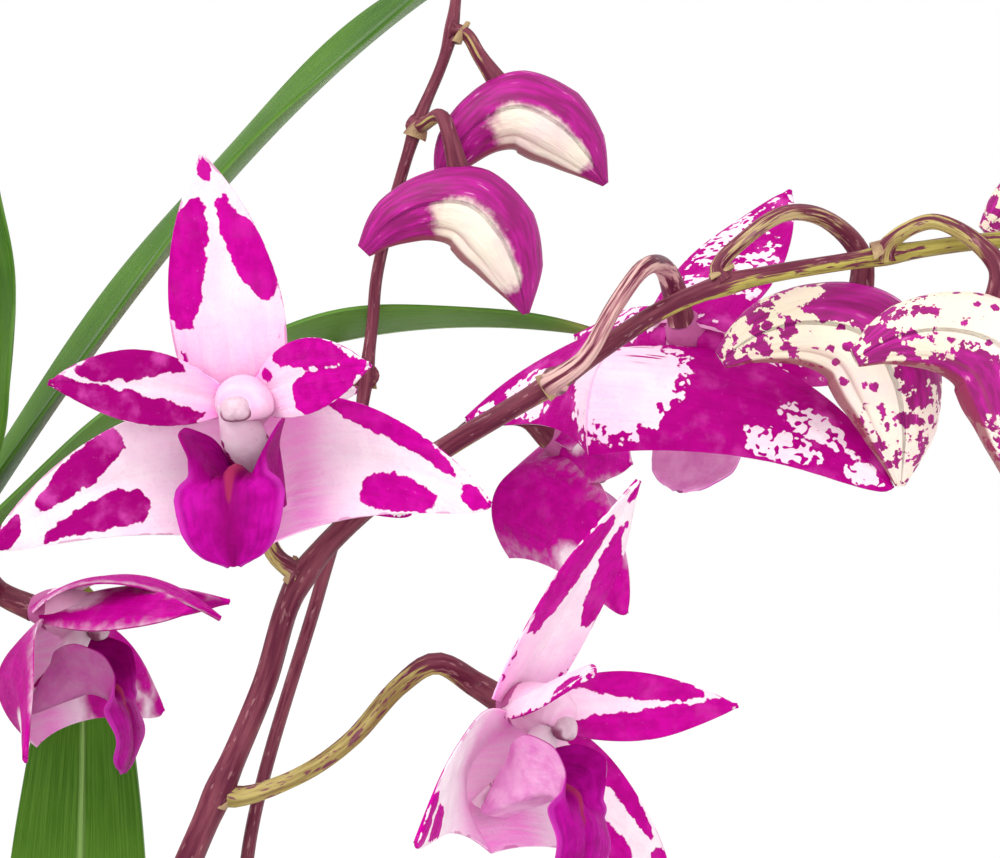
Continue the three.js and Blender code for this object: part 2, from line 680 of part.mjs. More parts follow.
const RACEMES = [
  {
    name: "raceme_front",
    line: [
      [-14, -19.2, 224.5],
      [-9, -24, 250],
      [-1.7, -27.5, 267.7],
      [4, -28, 280.9],
      [6.8, -28.2, 289],
      [14.1, -29, 296.3],
      [24.7, -30.4, 303],
      [35.2, -31, 309.6],
      [48.2, -31, 312.4],
      [60, -31, 313.8],
      [74, -30.6, 312.6],
    ],
    radii: [1.5, 1.35, 1.2, 1.05, 0.9, 0.85, 0.78, 0.7, 0.62, 0.6, 0.5],
    stalks: {
      bloom_face: [
        [4.9, -27.5, 290.8],
        [3.7, -27, 294.8],
      ],
      bloom_side: [
        [2.2, -27.6, 273.1],
        [6.8, -28, 274.7],
        [10.5, -28.5, 277.3],
        [14.1, -29, 281.3],
        [16.7, -30, 283],
      ],
      bloom_back: [
        [25.2, -31.9, 303.4],
        [27.4, -32.4, 305],
        [29.7, -32.9, 308.9],
        [31.5, -32.4, 311.4],
        [32.9, -29, 312],
      ],
      bud_large: [
        [37.2, -30.6, 311.6],
        [39.3, -30.4, 313.9],
        [42, -30, 315.6],
        [45, -28.4, 315.4],
      ],
      bud_edge: [
        [49.4, -31.4, 313.2],
        [50.8, -31.8, 314.4],
        [53, -33, 314.9],
      ],
      bud_upper: [
        [59.4, -30.4, 317],
        [60.6, -28.6, 321],
        [62.6, -25, 324.4],
      ],
      bud_end: [
        [73.4, -30.6, 313],
        [75.6, -30, 313.2],
      ],
    },
  },
  {
    name: "raceme_far",
    line: [
      [4, 12, 230.5],
      [0.6, 12, 250],
      [0.6, 11.5, 265],
      [6.5, 11.5, 286.7],
      [9, 12, 295.8],
      [10.8, 12, 308.2],
      [11.3, 12, 313.1],
      [14.4, 12, 324.7],
      [17.2, 12, 332.1],
      [18.4, 12.6, 344],
    ],
    radii: [1.2, 1, 0.85, 0.75, 0.7, 0.65, 0.6, 0.55, 0.5, 0.4],
    stalks: {
      bloom_far: [
        [10.2, 13.6, 293.6],
        [13, 16, 295.2],
        [16.3, 19, 297.8],
        [19.7, 22, 300.6],
      ],
      bloom_rear: [
        [10, 15, 304.5],
        [4, 24, 307],
        [-2, 34, 306.2],
      ],
      bud_far_lower: [
        [15, 11, 325],
        [16.6, 8.6, 325.6],
      ],
      bud_far_upper: [
        [18.6, 12, 332.6],
      ],
      bud_far_tip: [
        [19.4, 12.8, 347.4],
      ],
    },
  },
  {
    name: "raceme_left",
    line: [
      [-45, -16, 232.5],
      [-41, -15, 252],
      [-34, -14, 270],
      [-30, -15, 288],
      [-32, -17, 304],
      [-42, -19, 318],
      [-51, -20, 327],
    ],
    radii: [1.3, 1.15, 1, 0.9, 0.75, 0.6, 0.5],
    stalks: {
      bloom_left: [
        [-27, -12.6, 290.4],
        [-20, -8, 290],
      ],
      bloom_top_left: [
        [-36, -16, 308],
        [-42, -14, 311],
        [-50, -15, 308],
      ],
      bloom_low_left: [
        [-37.6, -12.6, 272],
        [-44, -10, 277],
      ],
      bud_left_upper: [
        [-32.6, -18, 310],
        [-30.8, -21, 317.4],
      ],
      bud_left_tip: [
        [-55, -20, 331.4],
      ],
    },
  },
];

// The point of a curve that is nearest to p.
function nearestOn(curve, p) {
  const samples = curve.getSpacedPoints(300);
  return samples.reduce((a, b) => (a.distanceTo(p) < b.distanceTo(p) ? a : b));
}

function makeRaceme({ line, radii, stalks }) {
  const flowers = [...BLOOMS, ...BUDS];
  const mainLine = line.map((p) => vec(...p));
  const main = stemGeometry(mainLine, radii, 14, 6);
  const curve = new THREE.CatmullRomCurve3(mainLine, false, "centripetal");
  const side = Object.entries(stalks).map(([name, route]) => {
    const way = route.map((p) => vec(...p));
    const end = stalkEnd(flowers.find((f) => f.name === name));
    const points = [nearestOn(curve, way[0]), ...way, ...end];
    const girth = name.startsWith("bud") ? [0.6, 0.55, 0.6, 0.7] : [0.7, 0.6, 0.65, 0.8, 0.9];
    return stemGeometry(points, girth, 7, 5);
  });
  return fuse([main, ...side]);
}

addPiece("pot", makePot(), CLAY);
addPiece("bark", makeBark(), BARK);
CANES.forEach((cane) => addPiece(cane.name, makeCane(cane), CANE_GREEN));
[...PLACED_LEAVES, ...CANE_LEAVES].forEach((leaf, k) => {
  addPiece(`leaf_${String(k + 1).padStart(2, "0")}`, makeLeaf(leaf), LEAF_GREEN);
});
RACEMES.forEach((raceme) => addPiece(raceme.name, makeRaceme(raceme), STEM_PURPLE));
BLOOMS.forEach((bloom) => {
  const place = facingMatrix(vec(...bloom.at), ...bloom.face);
  addPiece(bloom.name, bloomGeometry(bloom).applyMatrix4(place), PETAL_PINK);
  addPiece(`${bloom.name}_lip`, lipGeometry(bloom).applyMatrix4(place), LIP_MAGENTA);
});
BUDS.forEach((bud) => {
  const place = facingMatrix(vec(...bud.at), ...bud.face);
  addPiece(bud.name, budGeometry(bud.size).applyMatrix4(place), BUD_CREAM);
});

export default orchid;
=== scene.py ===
# A potted pink rock orchid in flower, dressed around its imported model.
# Sizes are in millimetres and become metres where a mesh is made.
from math import cos, pi, radians, sin

import bmesh
import bpy
import numpy as np
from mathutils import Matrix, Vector, noise as lumps


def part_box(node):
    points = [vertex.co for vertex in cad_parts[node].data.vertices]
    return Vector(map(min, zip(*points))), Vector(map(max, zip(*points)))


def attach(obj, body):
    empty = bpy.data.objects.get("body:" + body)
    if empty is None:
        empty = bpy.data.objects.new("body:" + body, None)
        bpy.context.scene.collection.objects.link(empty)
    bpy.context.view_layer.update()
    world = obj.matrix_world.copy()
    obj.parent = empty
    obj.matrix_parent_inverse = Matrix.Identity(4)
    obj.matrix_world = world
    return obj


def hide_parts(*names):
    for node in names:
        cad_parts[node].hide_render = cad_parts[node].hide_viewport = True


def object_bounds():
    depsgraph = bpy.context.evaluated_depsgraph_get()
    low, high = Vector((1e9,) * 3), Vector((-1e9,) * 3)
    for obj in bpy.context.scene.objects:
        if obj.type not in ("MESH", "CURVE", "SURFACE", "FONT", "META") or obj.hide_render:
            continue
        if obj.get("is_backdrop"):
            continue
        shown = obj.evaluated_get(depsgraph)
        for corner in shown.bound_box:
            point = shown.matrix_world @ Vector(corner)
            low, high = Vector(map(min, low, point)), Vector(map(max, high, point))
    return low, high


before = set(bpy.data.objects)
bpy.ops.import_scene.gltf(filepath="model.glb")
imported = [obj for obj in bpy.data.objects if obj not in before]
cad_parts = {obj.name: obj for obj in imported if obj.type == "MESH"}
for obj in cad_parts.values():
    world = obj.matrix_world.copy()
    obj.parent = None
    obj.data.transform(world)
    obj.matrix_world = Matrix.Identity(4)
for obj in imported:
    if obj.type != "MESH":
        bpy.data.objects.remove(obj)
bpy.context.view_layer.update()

# Clay pot
# Terracotta, thrown with a collar and fired without glaze. It stands on its flat base, four
# holes drain it, and the clay is darker where it stays damp and pale where salts dry on it.
MM = 0.001
POT_WALL, POT_FLOOR, RIM_BAND = 4.5, 7, 23
RIM_FLARE, BASE_INSET, BORE_STEP = 0.5, 17, 3.2
DRAINS, DRAIN_RADIUS, DRAIN_REACH = 4, 4.5, 22
pot_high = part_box("pot")[1]
POT_TOP, RIM_RADIUS = pot_high.z / MM, pot_high.x / MM - RIM_FLARE
BASE_RADIUS, INNER = RIM_RADIUS - BASE_INSET, RIM_RADIUS - POT_WALL
COLLAR = POT_TOP - RIM_BAND


class Output:
    """What a node puts out. It adds, multiplies and steps as a number would."""

    def __init__(self, socket):
        self.socket = socket

    __add__ = lambda self, other: maths("ADD", self, other)
    __sub__ = lambda self, other: maths("SUBTRACT", self, other)
    __rsub__ = lambda self, other: maths("SUBTRACT", other, self)
    __mul__ = lambda self, other: maths("MULTIPLY", self, other)
    __truediv__ = lambda self, other: maths("DIVIDE", self, other)
    __or__ = lambda self, other: maths("MAXIMUM", self, other)

    def rise(self, low=0.3, high=0.7, bottom=0.0, top=1.0):
        """A smooth step from bottom to top as the value goes from low to high."""
        ends = {"Value": self, "From Min": low, "From Max": high, "To Min": bottom, "To Max": top}
        return add("ShaderNodeMapRange", ends, interpolation_type="SMOOTHSTEP")


def feed(node, inputs):
    """Gives each named input of a node a value or another node's output."""
    for key, value in inputs.items():
        if isinstance(value, Output):
            tree.links.new(value.socket, node.inputs[key])
        else:
            node.inputs[key].default_value = value


def add(kind, inputs=None, output=0, **settings):
    """A new node of the tree in hand, as one of its outputs."""
    made = tree.nodes.new(kind)
    for key, value in settings.items():
        setattr(made, key, value)
    feed(made, inputs or {})
    return Output(made.outputs[output])


def maths(operation, *values):
    return add("ShaderNodeMath", dict(enumerate(values)), operation=operation)


def grain(size, detail=3.0, rough=0.55, at=None, stretch=(1, 1, 1)):
    """Noise whose lumps are about size millimetres, drawn out by dividing an axis."""
    at = at or add("ShaderNodeTexCoord", output="Object")
    moved = add("ShaderNodeMapping", {"Vector": at, "Scale": stretch})
    values = {"Vector": moved, "Scale": 1 / (size * MM), "Detail": detail, "Roughness": rough}
    return add("ShaderNodeTexNoise", values, "Fac")


def colour(code):
    """A web colour as the linear colour that a node takes."""
    parts = [int(code[k : k + 2], 16) / 255 for k in (0, 2, 4)]
    return (*[c / 12.92 if c < 0.04045 else ((c + 0.055) / 1.055) ** 2.4 for c in parts], 1)


def layers(body, *coats):
    """A colour with others laid over it, each as far as its share goes."""
    for share, coat in coats:
        both = [colour(c) if isinstance(c, str) else c for c in (body, coat)]
        body = add("ShaderNodeMix", {0: share, 6: both[0], 7: both[1]}, 2, data_type="RGBA")
    return body


def new_finish(name, **constants):
    """Starts a material and sets the sockets of its shader that are the same all over."""
    global material, tree, shader
    material = bpy.data.materials.new(name)
    material.use_nodes = True
    tree = material.node_tree
    shader = tree.nodes["Principled BSDF"]
    feed(shader, {key.replace("_", " "): value for key, value in constants.items()})


def finished(body, gloss, *bumps):
    """The material with its colour, its roughness and its bumps of (height, millimetres)."""
    inputs, under = {"Base Color": body, "Roughness": gloss}, {}
    for height, depth in bumps:
        bump = add("ShaderNodeBump", {"Height": height, "Distance": depth * MM, "Strength": 1.0, **under})
        under = {"Normal": bump}
    feed(shader, {**inputs, **under})
    return material


def linked(name, data):
    made = bpy.data.objects.new(name, data)
    bpy.context.scene.collection.objects.link(made)
    return made


def meshed(name, points, edges, faces, facts):
    """An object from points in millimetres, with named values at its points."""
    mesh = bpy.data.meshes.new(name)
    mesh.from_pydata((np.asarray(points) * MM).tolist(), edges, faces)
    for key, values in facts.items():
        values = np.asarray(values, np.float32)
        kind, field = ("FLOAT_VECTOR", "vector") if values.ndim == 2 else ("FLOAT", "value")
        mesh.attributes.new(key, kind, "POINT").data.foreach_set(field, values.ravel())
    return linked(name, mesh)


def piece(name, points, faces, facts, material, sharp=50):
    """A smooth mesh with its place in its points."""
    made = meshed(name, points, [], faces, facts)
    made.data.materials.append(material)
    made.data.polygons.foreach_set("use_smooth", [True] * len(faces))
    made.data.set_sharp_from_angle(angle=radians(sharp))
    return made


def place(made, node):
    """The piece goes with the model's one body and stands for this node of it."""
    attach(made, "root")
    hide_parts(node)


def settled(made, name):
    """The piece as a plain mesh, with its modifiers worked in."""
    seen = made.evaluated_get(bpy.context.evaluated_depsgraph_get())
    plain = linked(name, bpy.data.meshes.new_from_object(seen))
    bpy.data.objects.remove(made)
    plain.data.name = name
    return plain


def spot(x, y, z):
    return np.stack(np.broadcast_arrays(x, y, z), axis=-1)


def softened(outline, radius):
    """The outline with each inner corner rounded."""
    path = [np.array(p, float) for p in outline]
    made = [path[0]]
    for before, corner, after in zip(path, path[1:], path[2:]):
        back, on = before - corner, after - corner
        reach = [min(radius, 0.45 * np.linalg.norm(d)) / np.linalg.norm(d) for d in (back, on)]
        start, end = corner + back * reach[0], corner + on * reach[1]
        made += [(1 - t) ** 2 * start + 2 * t * (1 - t) * corner + t * t * end for t in (0, 0.33, 0.67, 1)]
    return made + [path[-1]]


def closed(rings, ends, facts=None):
    """The skin over rings of points, closed with a point at each end."""
    rows, sides = rings.shape[:2]
    last, faces = (rows - 1) * sides, []
    for s in range(sides):
        n = (s + 1) % sides
        faces += [(k + s, k + n, k + sides + n, k + sides + s) for k in range(0, last, sides)]
        faces += [(last + sides, n, s), (last + sides + 1, last + s, last + n)]
    return np.concatenate([rings.reshape(-1, 3), ends]), faces, facts or {}


def turned(outline, sides):
    """A closed turned shape. The outline starts and ends on the axis."""
    radius, z = np.array(outline)[1:-1].T[..., None]
    angles = np.arange(sides) * 2 * pi / sides
    rings = spot(radius * np.cos(angles), radius * np.sin(angles), z)
    return closed(rings, [(0, 0, outline[0][1]), (0, 0, outline[-1][1])])


def pot_outline():
    shape = [(0, 0), (BASE_RADIUS - 1.5, 0), (BASE_RADIUS, 1.5), (RIM_RADIUS - 3.5, COLLAR)]
    shape += [(RIM_RADIUS - 0.6, COLLAR + 1), (RIM_RADIUS, COLLAR + 3)]
    shape += [(RIM_RADIUS + RIM_FLARE, POT_TOP - 1.5), (RIM_RADIUS - 1.2, POT_TOP), (INNER + 1, POT_TOP)]
    shape += [(INNER, POT_TOP - 1.5), (INNER - BORE_STEP, COLLAR), (BASE_RADIUS - POT_WALL, POT_FLOOR)]
    smooth = softened(shape + [(0, POT_FLOOR)], 1.4)
    made = [smooth[0]]
    for before, after in zip(smooth, smooth[1:]):
        steps = max(1, int(np.linalg.norm(after - before) / 1.5))
        made += [before + (after - before) * k / steps for k in range(1, steps + 1)]
    # The potter's fingers leave faint rings up the wall.
    return [(r + 0.12 * sin(z * 1.15) * (0.5 < r and 3 < z < COLLAR - 2), z) for r, z in made]


new_finish("fired_clay", IOR=1.45)
height = add("ShaderNodeSeparateXYZ", {0: add("ShaderNodeTexCoord", output="Object")}, "Z")
salts = height.rise(0.05, 0.085) * grain(9, 5)
damp = height + grain(20) * 0.03
body = layers(
    "B4633F", (grain(14), "C67A54"), (grain(1.6).rise(0.55, 0.75, top=0.35), "8E4A30"),
    (salts.rise(0.25, 0.7, top=0.4), "D9B7A0"), (damp.rise(0.045, 0.022, top=0.45), "7A4029"),
)
clay = finished(body, grain(3).rise(bottom=0.78, top=0.95), (grain(0.9, 4), 0.25), (grain(7), 0.5))
pot = piece("clay_pot", *turned(pot_outline(), 96), clay, 40)
drills = []
for k in range(DRAINS):
    angle = (k + 0.5) * 2 * pi / DRAINS
    points, *rest = turned([(0, -5), (DRAIN_RADIUS, -5), (DRAIN_RADIUS, 15), (0, 15)], 32)
    points += (DRAIN_REACH * cos(angle), DRAIN_REACH * sin(angle), 0)
    drills.append(piece(f"drill_{k}", points, *rest, clay))
    cut = pot.modifiers.new("drain", "BOOLEAN")
    cut.object, cut.solver = drills[-1], "EXACT"
place(settled(pot, "clay_pot"), "pot")
for drill in drills:
    bpy.data.objects.remove(drill)

# Potting bark
# Coarse chips of fir bark fill the pot to below its rim, as an orchid's roots want air. Big
# chips lie on top in a loose layer, with smaller ones and white grit between them.
BARK_TOP, BARK_HOLLOW, BARK_GAP = 86, 48, 0.4
CHIP_SEED = 20417
SEED_FACTOR, SEED_LIMIT = 16807, 2147483647
GOLDEN_ANGLE = 2.39996


def random_source(seed):
    """The same repeatable numbers from 0 to 1 that set the chips in the model."""
    while True:
        seed = seed * SEED_FACTOR % SEED_LIMIT
        yield seed / SEED_LIMIT


def pot_bore(z):
    low, high = BASE_RADIUS - POT_WALL, INNER - BORE_STEP
    if z < COLLAR:
        return low + (high - low) * (z - POT_FLOOR) / (COLLAR - POT_FLOOR)
    return high + (INNER - high) * (z - COLLAR) / (POT_TOP - 1.5 - COLLAR)


def bark_finish(name, pale, dark):
    new_finish(name, IOR=1.4)
    flakes = grain(1.2, 4, stretch=(1, 1, 3))
    body = layers(dark, (grain(6, 4), pale), (flakes.rise(0.35, 0.7, top=0.6), "3A2418"))
    return finished(body, flakes.rise(bottom=0.7, top=0.95), (flakes, 0.5))


def chip_shape(name, roundness):
    """One rough chip: a block with its corners drawn in, stretched later by each point's size."""
    shape = bmesh.new()
    bmesh.ops.create_cube(shape, size=2)
    bmesh.ops.subdivide_edges(shape, edges=shape.edges, cuts=2, use_grid_fill=True)
    for corner in shape.verts:
        corner.co = corner.co.lerp(corner.co.normalized() * 1.25, roundness)
    mesh = bpy.data.meshes.new(name)
    shape.to_mesh(mesh)
    shape.free()
    return linked(name, mesh)


def new_grower(name, **sockets):
    """Starts a tree of geometry nodes with these kinds of inputs, and gives what comes in."""
    global tree
    tree = bpy.data.node_groups.new(name, "GeometryNodeTree")
    sockets = {"Geometry": "Geometry", **sockets, "Finish": "Material"}
    for key, kind in sockets.items():
        tree.interface.new_socket(key.replace("_", " "), in_out="INPUT", socket_type="NodeSocket" + kind)
    tree.interface.new_socket("Geometry", in_out="OUTPUT", socket_type="NodeSocketGeometry")
    return [Output(socket) for socket in tree.nodes.new("NodeGroupInput").outputs][: len(sockets)]


def ended(geometry, finish):
    """The tree in hand, with its copies made real and its finish set at its end."""
    real = add("GeometryNodeRealizeInstances", {"Geometry": geometry})
    done = add("GeometryNodeSetMaterial", {"Geometry": real, "Material": finish})
    tree.links.new(done.socket, tree.nodes.new("NodeGroupOutput").inputs[0])
    return tree


def kept(name, kind="FLOAT"):
    """In a tree of geometry nodes, the value that the points keep under a name."""
    return add("GeometryNodeInputNamedAttribute", {"Name": name}, "Attribute", data_type=kind)


def scaled(way, by):
    return add("ShaderNodeVectorMath", {0: way, "Scale": by}, operation="SCALE")


def chip_tree():
    """Puts a chip on each point, by the point's turn and size, and roughens its outline."""
    points, chip, roughness, lump_size, finish = new_grower(
        "scattered_chips", Chip="Object", Roughness="Float", Lump_Size="Float"
    )
    chip = add("GeometryNodeObjectInfo", {"Object": chip}, "Geometry")
    turn = add("FunctionNodeEulerToRotation", {0: kept("turn", "FLOAT_VECTOR")})
    where = {"Points": points, "Instance": chip, "Rotation": turn, "Scale": kept("size", "FLOAT_VECTOR")}
    real = add("GeometryNodeRealizeInstances", {"Geometry": add("GeometryNodeInstanceOnPoints", where)})
    rough = add("ShaderNodeTexNoise", {"Scale": maths("DIVIDE", 1.0, lump_size), "Detail": 1.0}, "Color")
    centred = add("ShaderNodeVectorMath", {0: rough, 1: (0.5, 0.5, 0.5)}, operation="SUBTRACT")
    uneven = {"Geometry": real, "Offset": scaled(centred, roughness)}
    return ended(add("GeometryNodeSetPosition", uneven), finish)


def grown(made, tree, inputs, name):
    """The plain mesh that a tree of geometry nodes makes from an object."""
    modifier = made.modifiers.new("grow", "NODES")
    modifier.node_group = tree
    for socket in tree.interface.items_tree:
        if socket.in_out == "INPUT" and socket.name in inputs:
            modifier[socket.identifier] = inputs[socket.name]
    return settled(made, name)


def spread_chips(random, count, margin, size, lift, tilt, corner_draws):
    """Points on a sunflower spiral over the bark, each with a chip's turn and size."""
    points, turns, sizes = [], [], []
    for k in range(count):
        out = (pot_bore(BARK_TOP) - margin) * np.sqrt((k + 0.5) / count)
        angle = k * GOLDEN_ANGLE + next(random) * 0.5
        sizes.append([(low + more * next(random)) * MM for low, more in size])
        for _ in range(corner_draws):
            next(random)
        turns.append([(next(random) - 0.5) * tilt, (next(random) - 0.5) * tilt, next(random) * 6.3])
        crown = 2.5 * (out / pot_bore(BARK_TOP)) ** 2
        points.append((out * cos(angle), out * sin(angle), BARK_TOP + lift - crown + next(random)))
    return meshed("spots", points, [], [], {"turn": turns, "size": sizes})


bark_dark = bark_finish("fir_bark", "8A5B3C", "5A3826")
bark_fill = [(pot_bore(z) - BARK_GAP, z) for z in (POT_FLOOR + 0.3, 30, 55, 78, BARK_TOP - 2)]
bark_fill += [(r, BARK_TOP - 1.2) for r in range(BARK_HOLLOW, 3, -4)] + [(0, BARK_TOP - 1)]
points, *rest = turned([(0, POT_FLOOR + 0.3), *bark_fill], 90)
for at in points:
    if at[2] > BARK_TOP - 3 and np.hypot(*at[:2]) < BARK_HOLLOW:
        at[2] += 1.6 * lumps.noise(Vector((at[0], at[1], 0)) * 0.28)
place(piece("bark_fill", points, *rest, bark_dark), "bark")

bark_pale = bark_finish("fir_bark_pale", "A8764E", "6E452C")
new_finish("perlite")
perlite = finished(layers("D8D4C8", (grain(1.5), "F2F0EA")), 0.9, (grain(0.5), 0.2))
chips = chip_tree()
slab, pebble = chip_shape("slab", 0.45), chip_shape("pebble", 0.9)
# Shape, finish, roughness, lump size, then count, margin to the wall, least and extra half
# sizes, lift, tilt and the random draws that the model spends on a chip's corners
LOOSE_PIECES = {
    "bark_chips": (slab, bark_dark, 3.2, 4, 40, 8, ((5.4, 3), (3.6, 2), (2, 1.2)), 2.2, 0.9, 8),
    "bark_crumbs": (slab, bark_pale, 1.8, 2.2, 300, 3, ((2.2, 2.2), (1.3, 1.2), (0.7, 0.7)), 0.6, 1.6, 0),
    "white_grit": (pebble, perlite, 0.9, 1.2, 60, 4, ((0.9, 0.8), (0.9, 0.5), (0.8, 0.5)), 1.6, 3, 0),
}
for k, (name, (shape, finish, rough, lump, *spread)) in enumerate(LOOSE_PIECES.items()):
    spots = spread_chips(random_source(CHIP_SEED + k), *spread)
    inputs = {"Chip": shape, "Roughness": rough * MM, "Lump Size": lump * MM, "Finish": finish}
    place(grown(spots, chips, inputs, name), "bark")
for shape in (slab, pebble):
    bpy.data.objects.remove(shape)

# Canes
# Each cane is a swollen, ribbed shoot with a ring at every joint, green turning straw-brown
# low down. It grows from the bark, and papery sheaths wrap its lower joints.
CANE_FOOT = 72
# Foot, tip and girth
CANES = {
    "cane_front": ((-5, -20), (-14, -19, 224), 6.6),
    "cane_tall": ((-16, 6), (-27, 16, 286), 7.2),
    "cane_middle": ((2, 4), (4, 12, 230), 6.8),
    "cane_left": ((-25, -14), (-45, -16, 232), 6.6),
    "cane_right": ((22, 2), (36, 6, 196), 6.4),
    "cane_low": ((15, -24), (25, -31, 168), 5.8),
    "cane_rear": ((-12, 26), (-30, 42, 212), 6.2),
    "cane_old": ((16, 24), (24, 38, 182), 5.6),
}
CANE_SHAPE = (0.8, 1, 1.02, 0.93, 0.82, 0.72, 0.62, 0.5, 0.4)
CANE_STEPS, CANE_SIDES, CANE_RIBS, RIB_DEPTH = 150, 32, 9, 0.16
JOINT_SPACING = 19
CURVE_STEPS = 60
SHEATH_THICKNESS, SHEATH_MESH = 0.35, (16, 36)
THIN_EDGE = 0.45


def read_off(share, rows, places=None):
    """The number or point at each share of the way along rows, evenly spaced if not placed."""
    places = np.linspace(0, 1, len(rows)) if places is None else places
    if np.ndim(rows) == 1:
        return np.interp(share, places, rows)
    return np.stack([np.interp(share, places, column) for column in np.transpose(rows)], axis=-1)


def unit(way):
    return way / np.maximum(np.linalg.norm(way, axis=-1, keepdims=True), 1e-9)


def hump(x, middle, width):
    return np.exp(-(((x - middle) / width) ** 2))


def smooth_line(points, steps):
    """Evenly spaced points on the centripetal curve through points, as the model's are."""
    p = [np.array(q, float) for q in points]
    p = [2 * p[0] - p[1], *p, 2 * p[-1] - p[-2]]
    dense = []
    for a, b, c, d in zip(p, p[1:], p[2:], p[3:]):
        gaps = [max(np.linalg.norm(q - r), 1e-6) ** 0.5 for q, r in ((a, b), (b, c), (c, d))]
        lead = (b - a) / gaps[0] - (c - a) / (gaps[0] + gaps[1]) + (c - b) / gaps[1]
        tail = (c - b) / gaps[1] - (d - b) / (gaps[1] + gaps[2]) + (d - c) / gaps[2]
        lead, tail = lead * gaps[1], tail * gaps[1]
        for t in np.arange(CURVE_STEPS) / CURVE_STEPS:
            cubic = (2 * b - 2 * c + lead + tail) * t**3
            dense.append(b + lead * t + (3 * c - 3 * b - 2 * lead - tail) * t**2 + cubic)
    dense = np.array([*dense, p[-2]])
    run = np.concatenate([[0], np.cumsum(np.linalg.norm(np.diff(dense, axis=0), axis=1))])
    return read_off(np.linspace(0, run[-1], steps + 1), dense, run), run[-1]


def cane_line(name, steps):
    (x, y), top, _ = CANES[name]
    lean = (x + (top[0] - x) * 0.35, y + (top[1] - y) * 0.35, (CANE_FOOT + top[2]) / 2)
    return smooth_line([(x, y, CANE_FOOT), lean, top], steps)


def cane_girth(name, share):
    return CANES[name][2] * read_off(share, CANE_SHAPE)


def stored(geometry, name, value, kind="FLOAT"):
    """The geometry, with a value kept at its points under a name."""
    inputs = {"Geometry": geometry, "Name": name, "Value": value}
    return add("GeometryNodeStoreNamedAttribute", inputs, domain="POINT", data_type=kind)


def stem_tree():
    """Grows a round stem along each chain of points, by the points' girth, and ribs it."""
    chain, sides, ribs, depth, finish = new_grower(
        "stem_on_path", Sides="Int", Ribs="Float", Rib_Depth="Float"
    )
    path = add("GeometryNodeMeshToCurve", {"Mesh": chain})
    path = stored(path, "along", add("GeometryNodeSplineParameter", output="Length"))
    ring = add("GeometryNodeCurvePrimitiveCircle", {"Resolution": sides, "Radius": 1.0})
    ring = stored(ring, "around", add("GeometryNodeInputPosition"), "FLOAT_VECTOR")
    skin = {"Curve": path, "Profile Curve": ring, "Scale": kept("girth"), "Fill Caps": True}
    skin = add("GeometryNodeCurveToMesh", skin)
    x, y = (add("ShaderNodeSeparateXYZ", {0: kept("around", "FLOAT_VECTOR")}, axis) for axis in "XY")
    out = add("GeometryNodeInputNormal")
    push = maths("COSINE", maths("ARCTAN2", y, x) * ribs) * depth
    skin = add("GeometryNodeSetPosition", {"Geometry": skin, "Offset": scaled(out, push)})
    skin = stored(skin, "upper", add("ShaderNodeSeparateXYZ", {0: out}, "Z"))
    return ended(add("GeometryNodeSetShadeSmooth", {"Geometry": skin}), finish)


def grow_stem(name, paths, material, sides, ribs, depth, facts):
    """A stem piece along chains of (points, girths), with other named values at the points."""
    edges, start = [], 0
    for line, _ in paths:
        edges += [(k, k + 1) for k in range(start, start + len(line) - 1)]
        start += len(line)
    facts = {"girth": np.concatenate([girth for _, girth in paths]) * MM, **facts}
    base = meshed(name, np.concatenate([line for line, _ in paths]), edges, [], facts)
    inputs = {"Sides": sides, "Ribs": ribs, "Rib Depth": depth * MM, "Finish": material}
    return grown(base, stems, inputs, name)


def read(name, output="Fac"):
    """A value that the mesh keeps at its points under a name."""
    return add("ShaderNodeAttribute", output=output, attribute_name=name)


def round_and_along(reach, stretch):
    """Pattern coordinates that follow a stem: round it by reach, and along it divided."""
    around = scaled(read("around", "Vector"), reach * MM)
    lift = add("ShaderNodeCombineXYZ", {"Z": read("along") / stretch})
    return add("ShaderNodeVectorMath", {0: around, 1: lift}, operation="ADD")


def sheet(surface, along, across, thickness, thin_edge, *given):
    """A thin closed sheet through surface(t, v, *given), with t, v and side at its points.
    Side is 1 on the face that the cross product of t and v points out of, and 0 on the other."""
    t, v = np.meshgrid(np.linspace(0, 1, along + 1), np.linspace(-1, 1, across + 1), indexing="ij")
    middle = surface(t, v, *given)
    out = unit(np.cross(np.gradient(middle, axis=0), np.gradient(middle, axis=1)))
    half = thickness / 2 * (1 - (1 - thin_edge) * np.abs(v) ** 5)
    both = [(middle + side * out * half[..., None]).reshape(-1, 3) for side in (1, -1)]
    wide, under, faces = across + 1, t.size, []
    for a in (i * wide + j for i in range(along) for j in range(across)):
        b, c, d = a + wide, a + wide + 1, a + 1
        faces += [(a, b, c, d), (under + a, under + d, under + c, under + b)]
    rim = [*range(0, under - wide, wide), *range(under - wide, under - 1)]
    rim += [*range(under - 1, across, -wide), *range(across, 0, -1)]
    faces += [(a, under + a, under + b, b) for a, b in zip(rim, rim[1:] + rim[:1])]
    facts = {"t": np.tile(t.ravel(), 2), "v": np.tile(v.ravel(), 2), "side": np.repeat([1.0, 0.0], under)}
    return np.concatenate(both), faces, facts


def gathered(parts):
    """Several (points, faces, facts) as one."""
    points, faces, facts, start = [], [], {}, 0
    for part_points, part_faces, part_facts in parts:
        points.append(part_points)
        faces += [tuple(start + k for k in face) for face in part_faces]
        for key, values in part_facts.items():
            facts.setdefault(key, []).append(values)
        start += len(part_points)
    return np.concatenate(points), faces, {key: np.concatenate(v) for key, v in facts.items()}


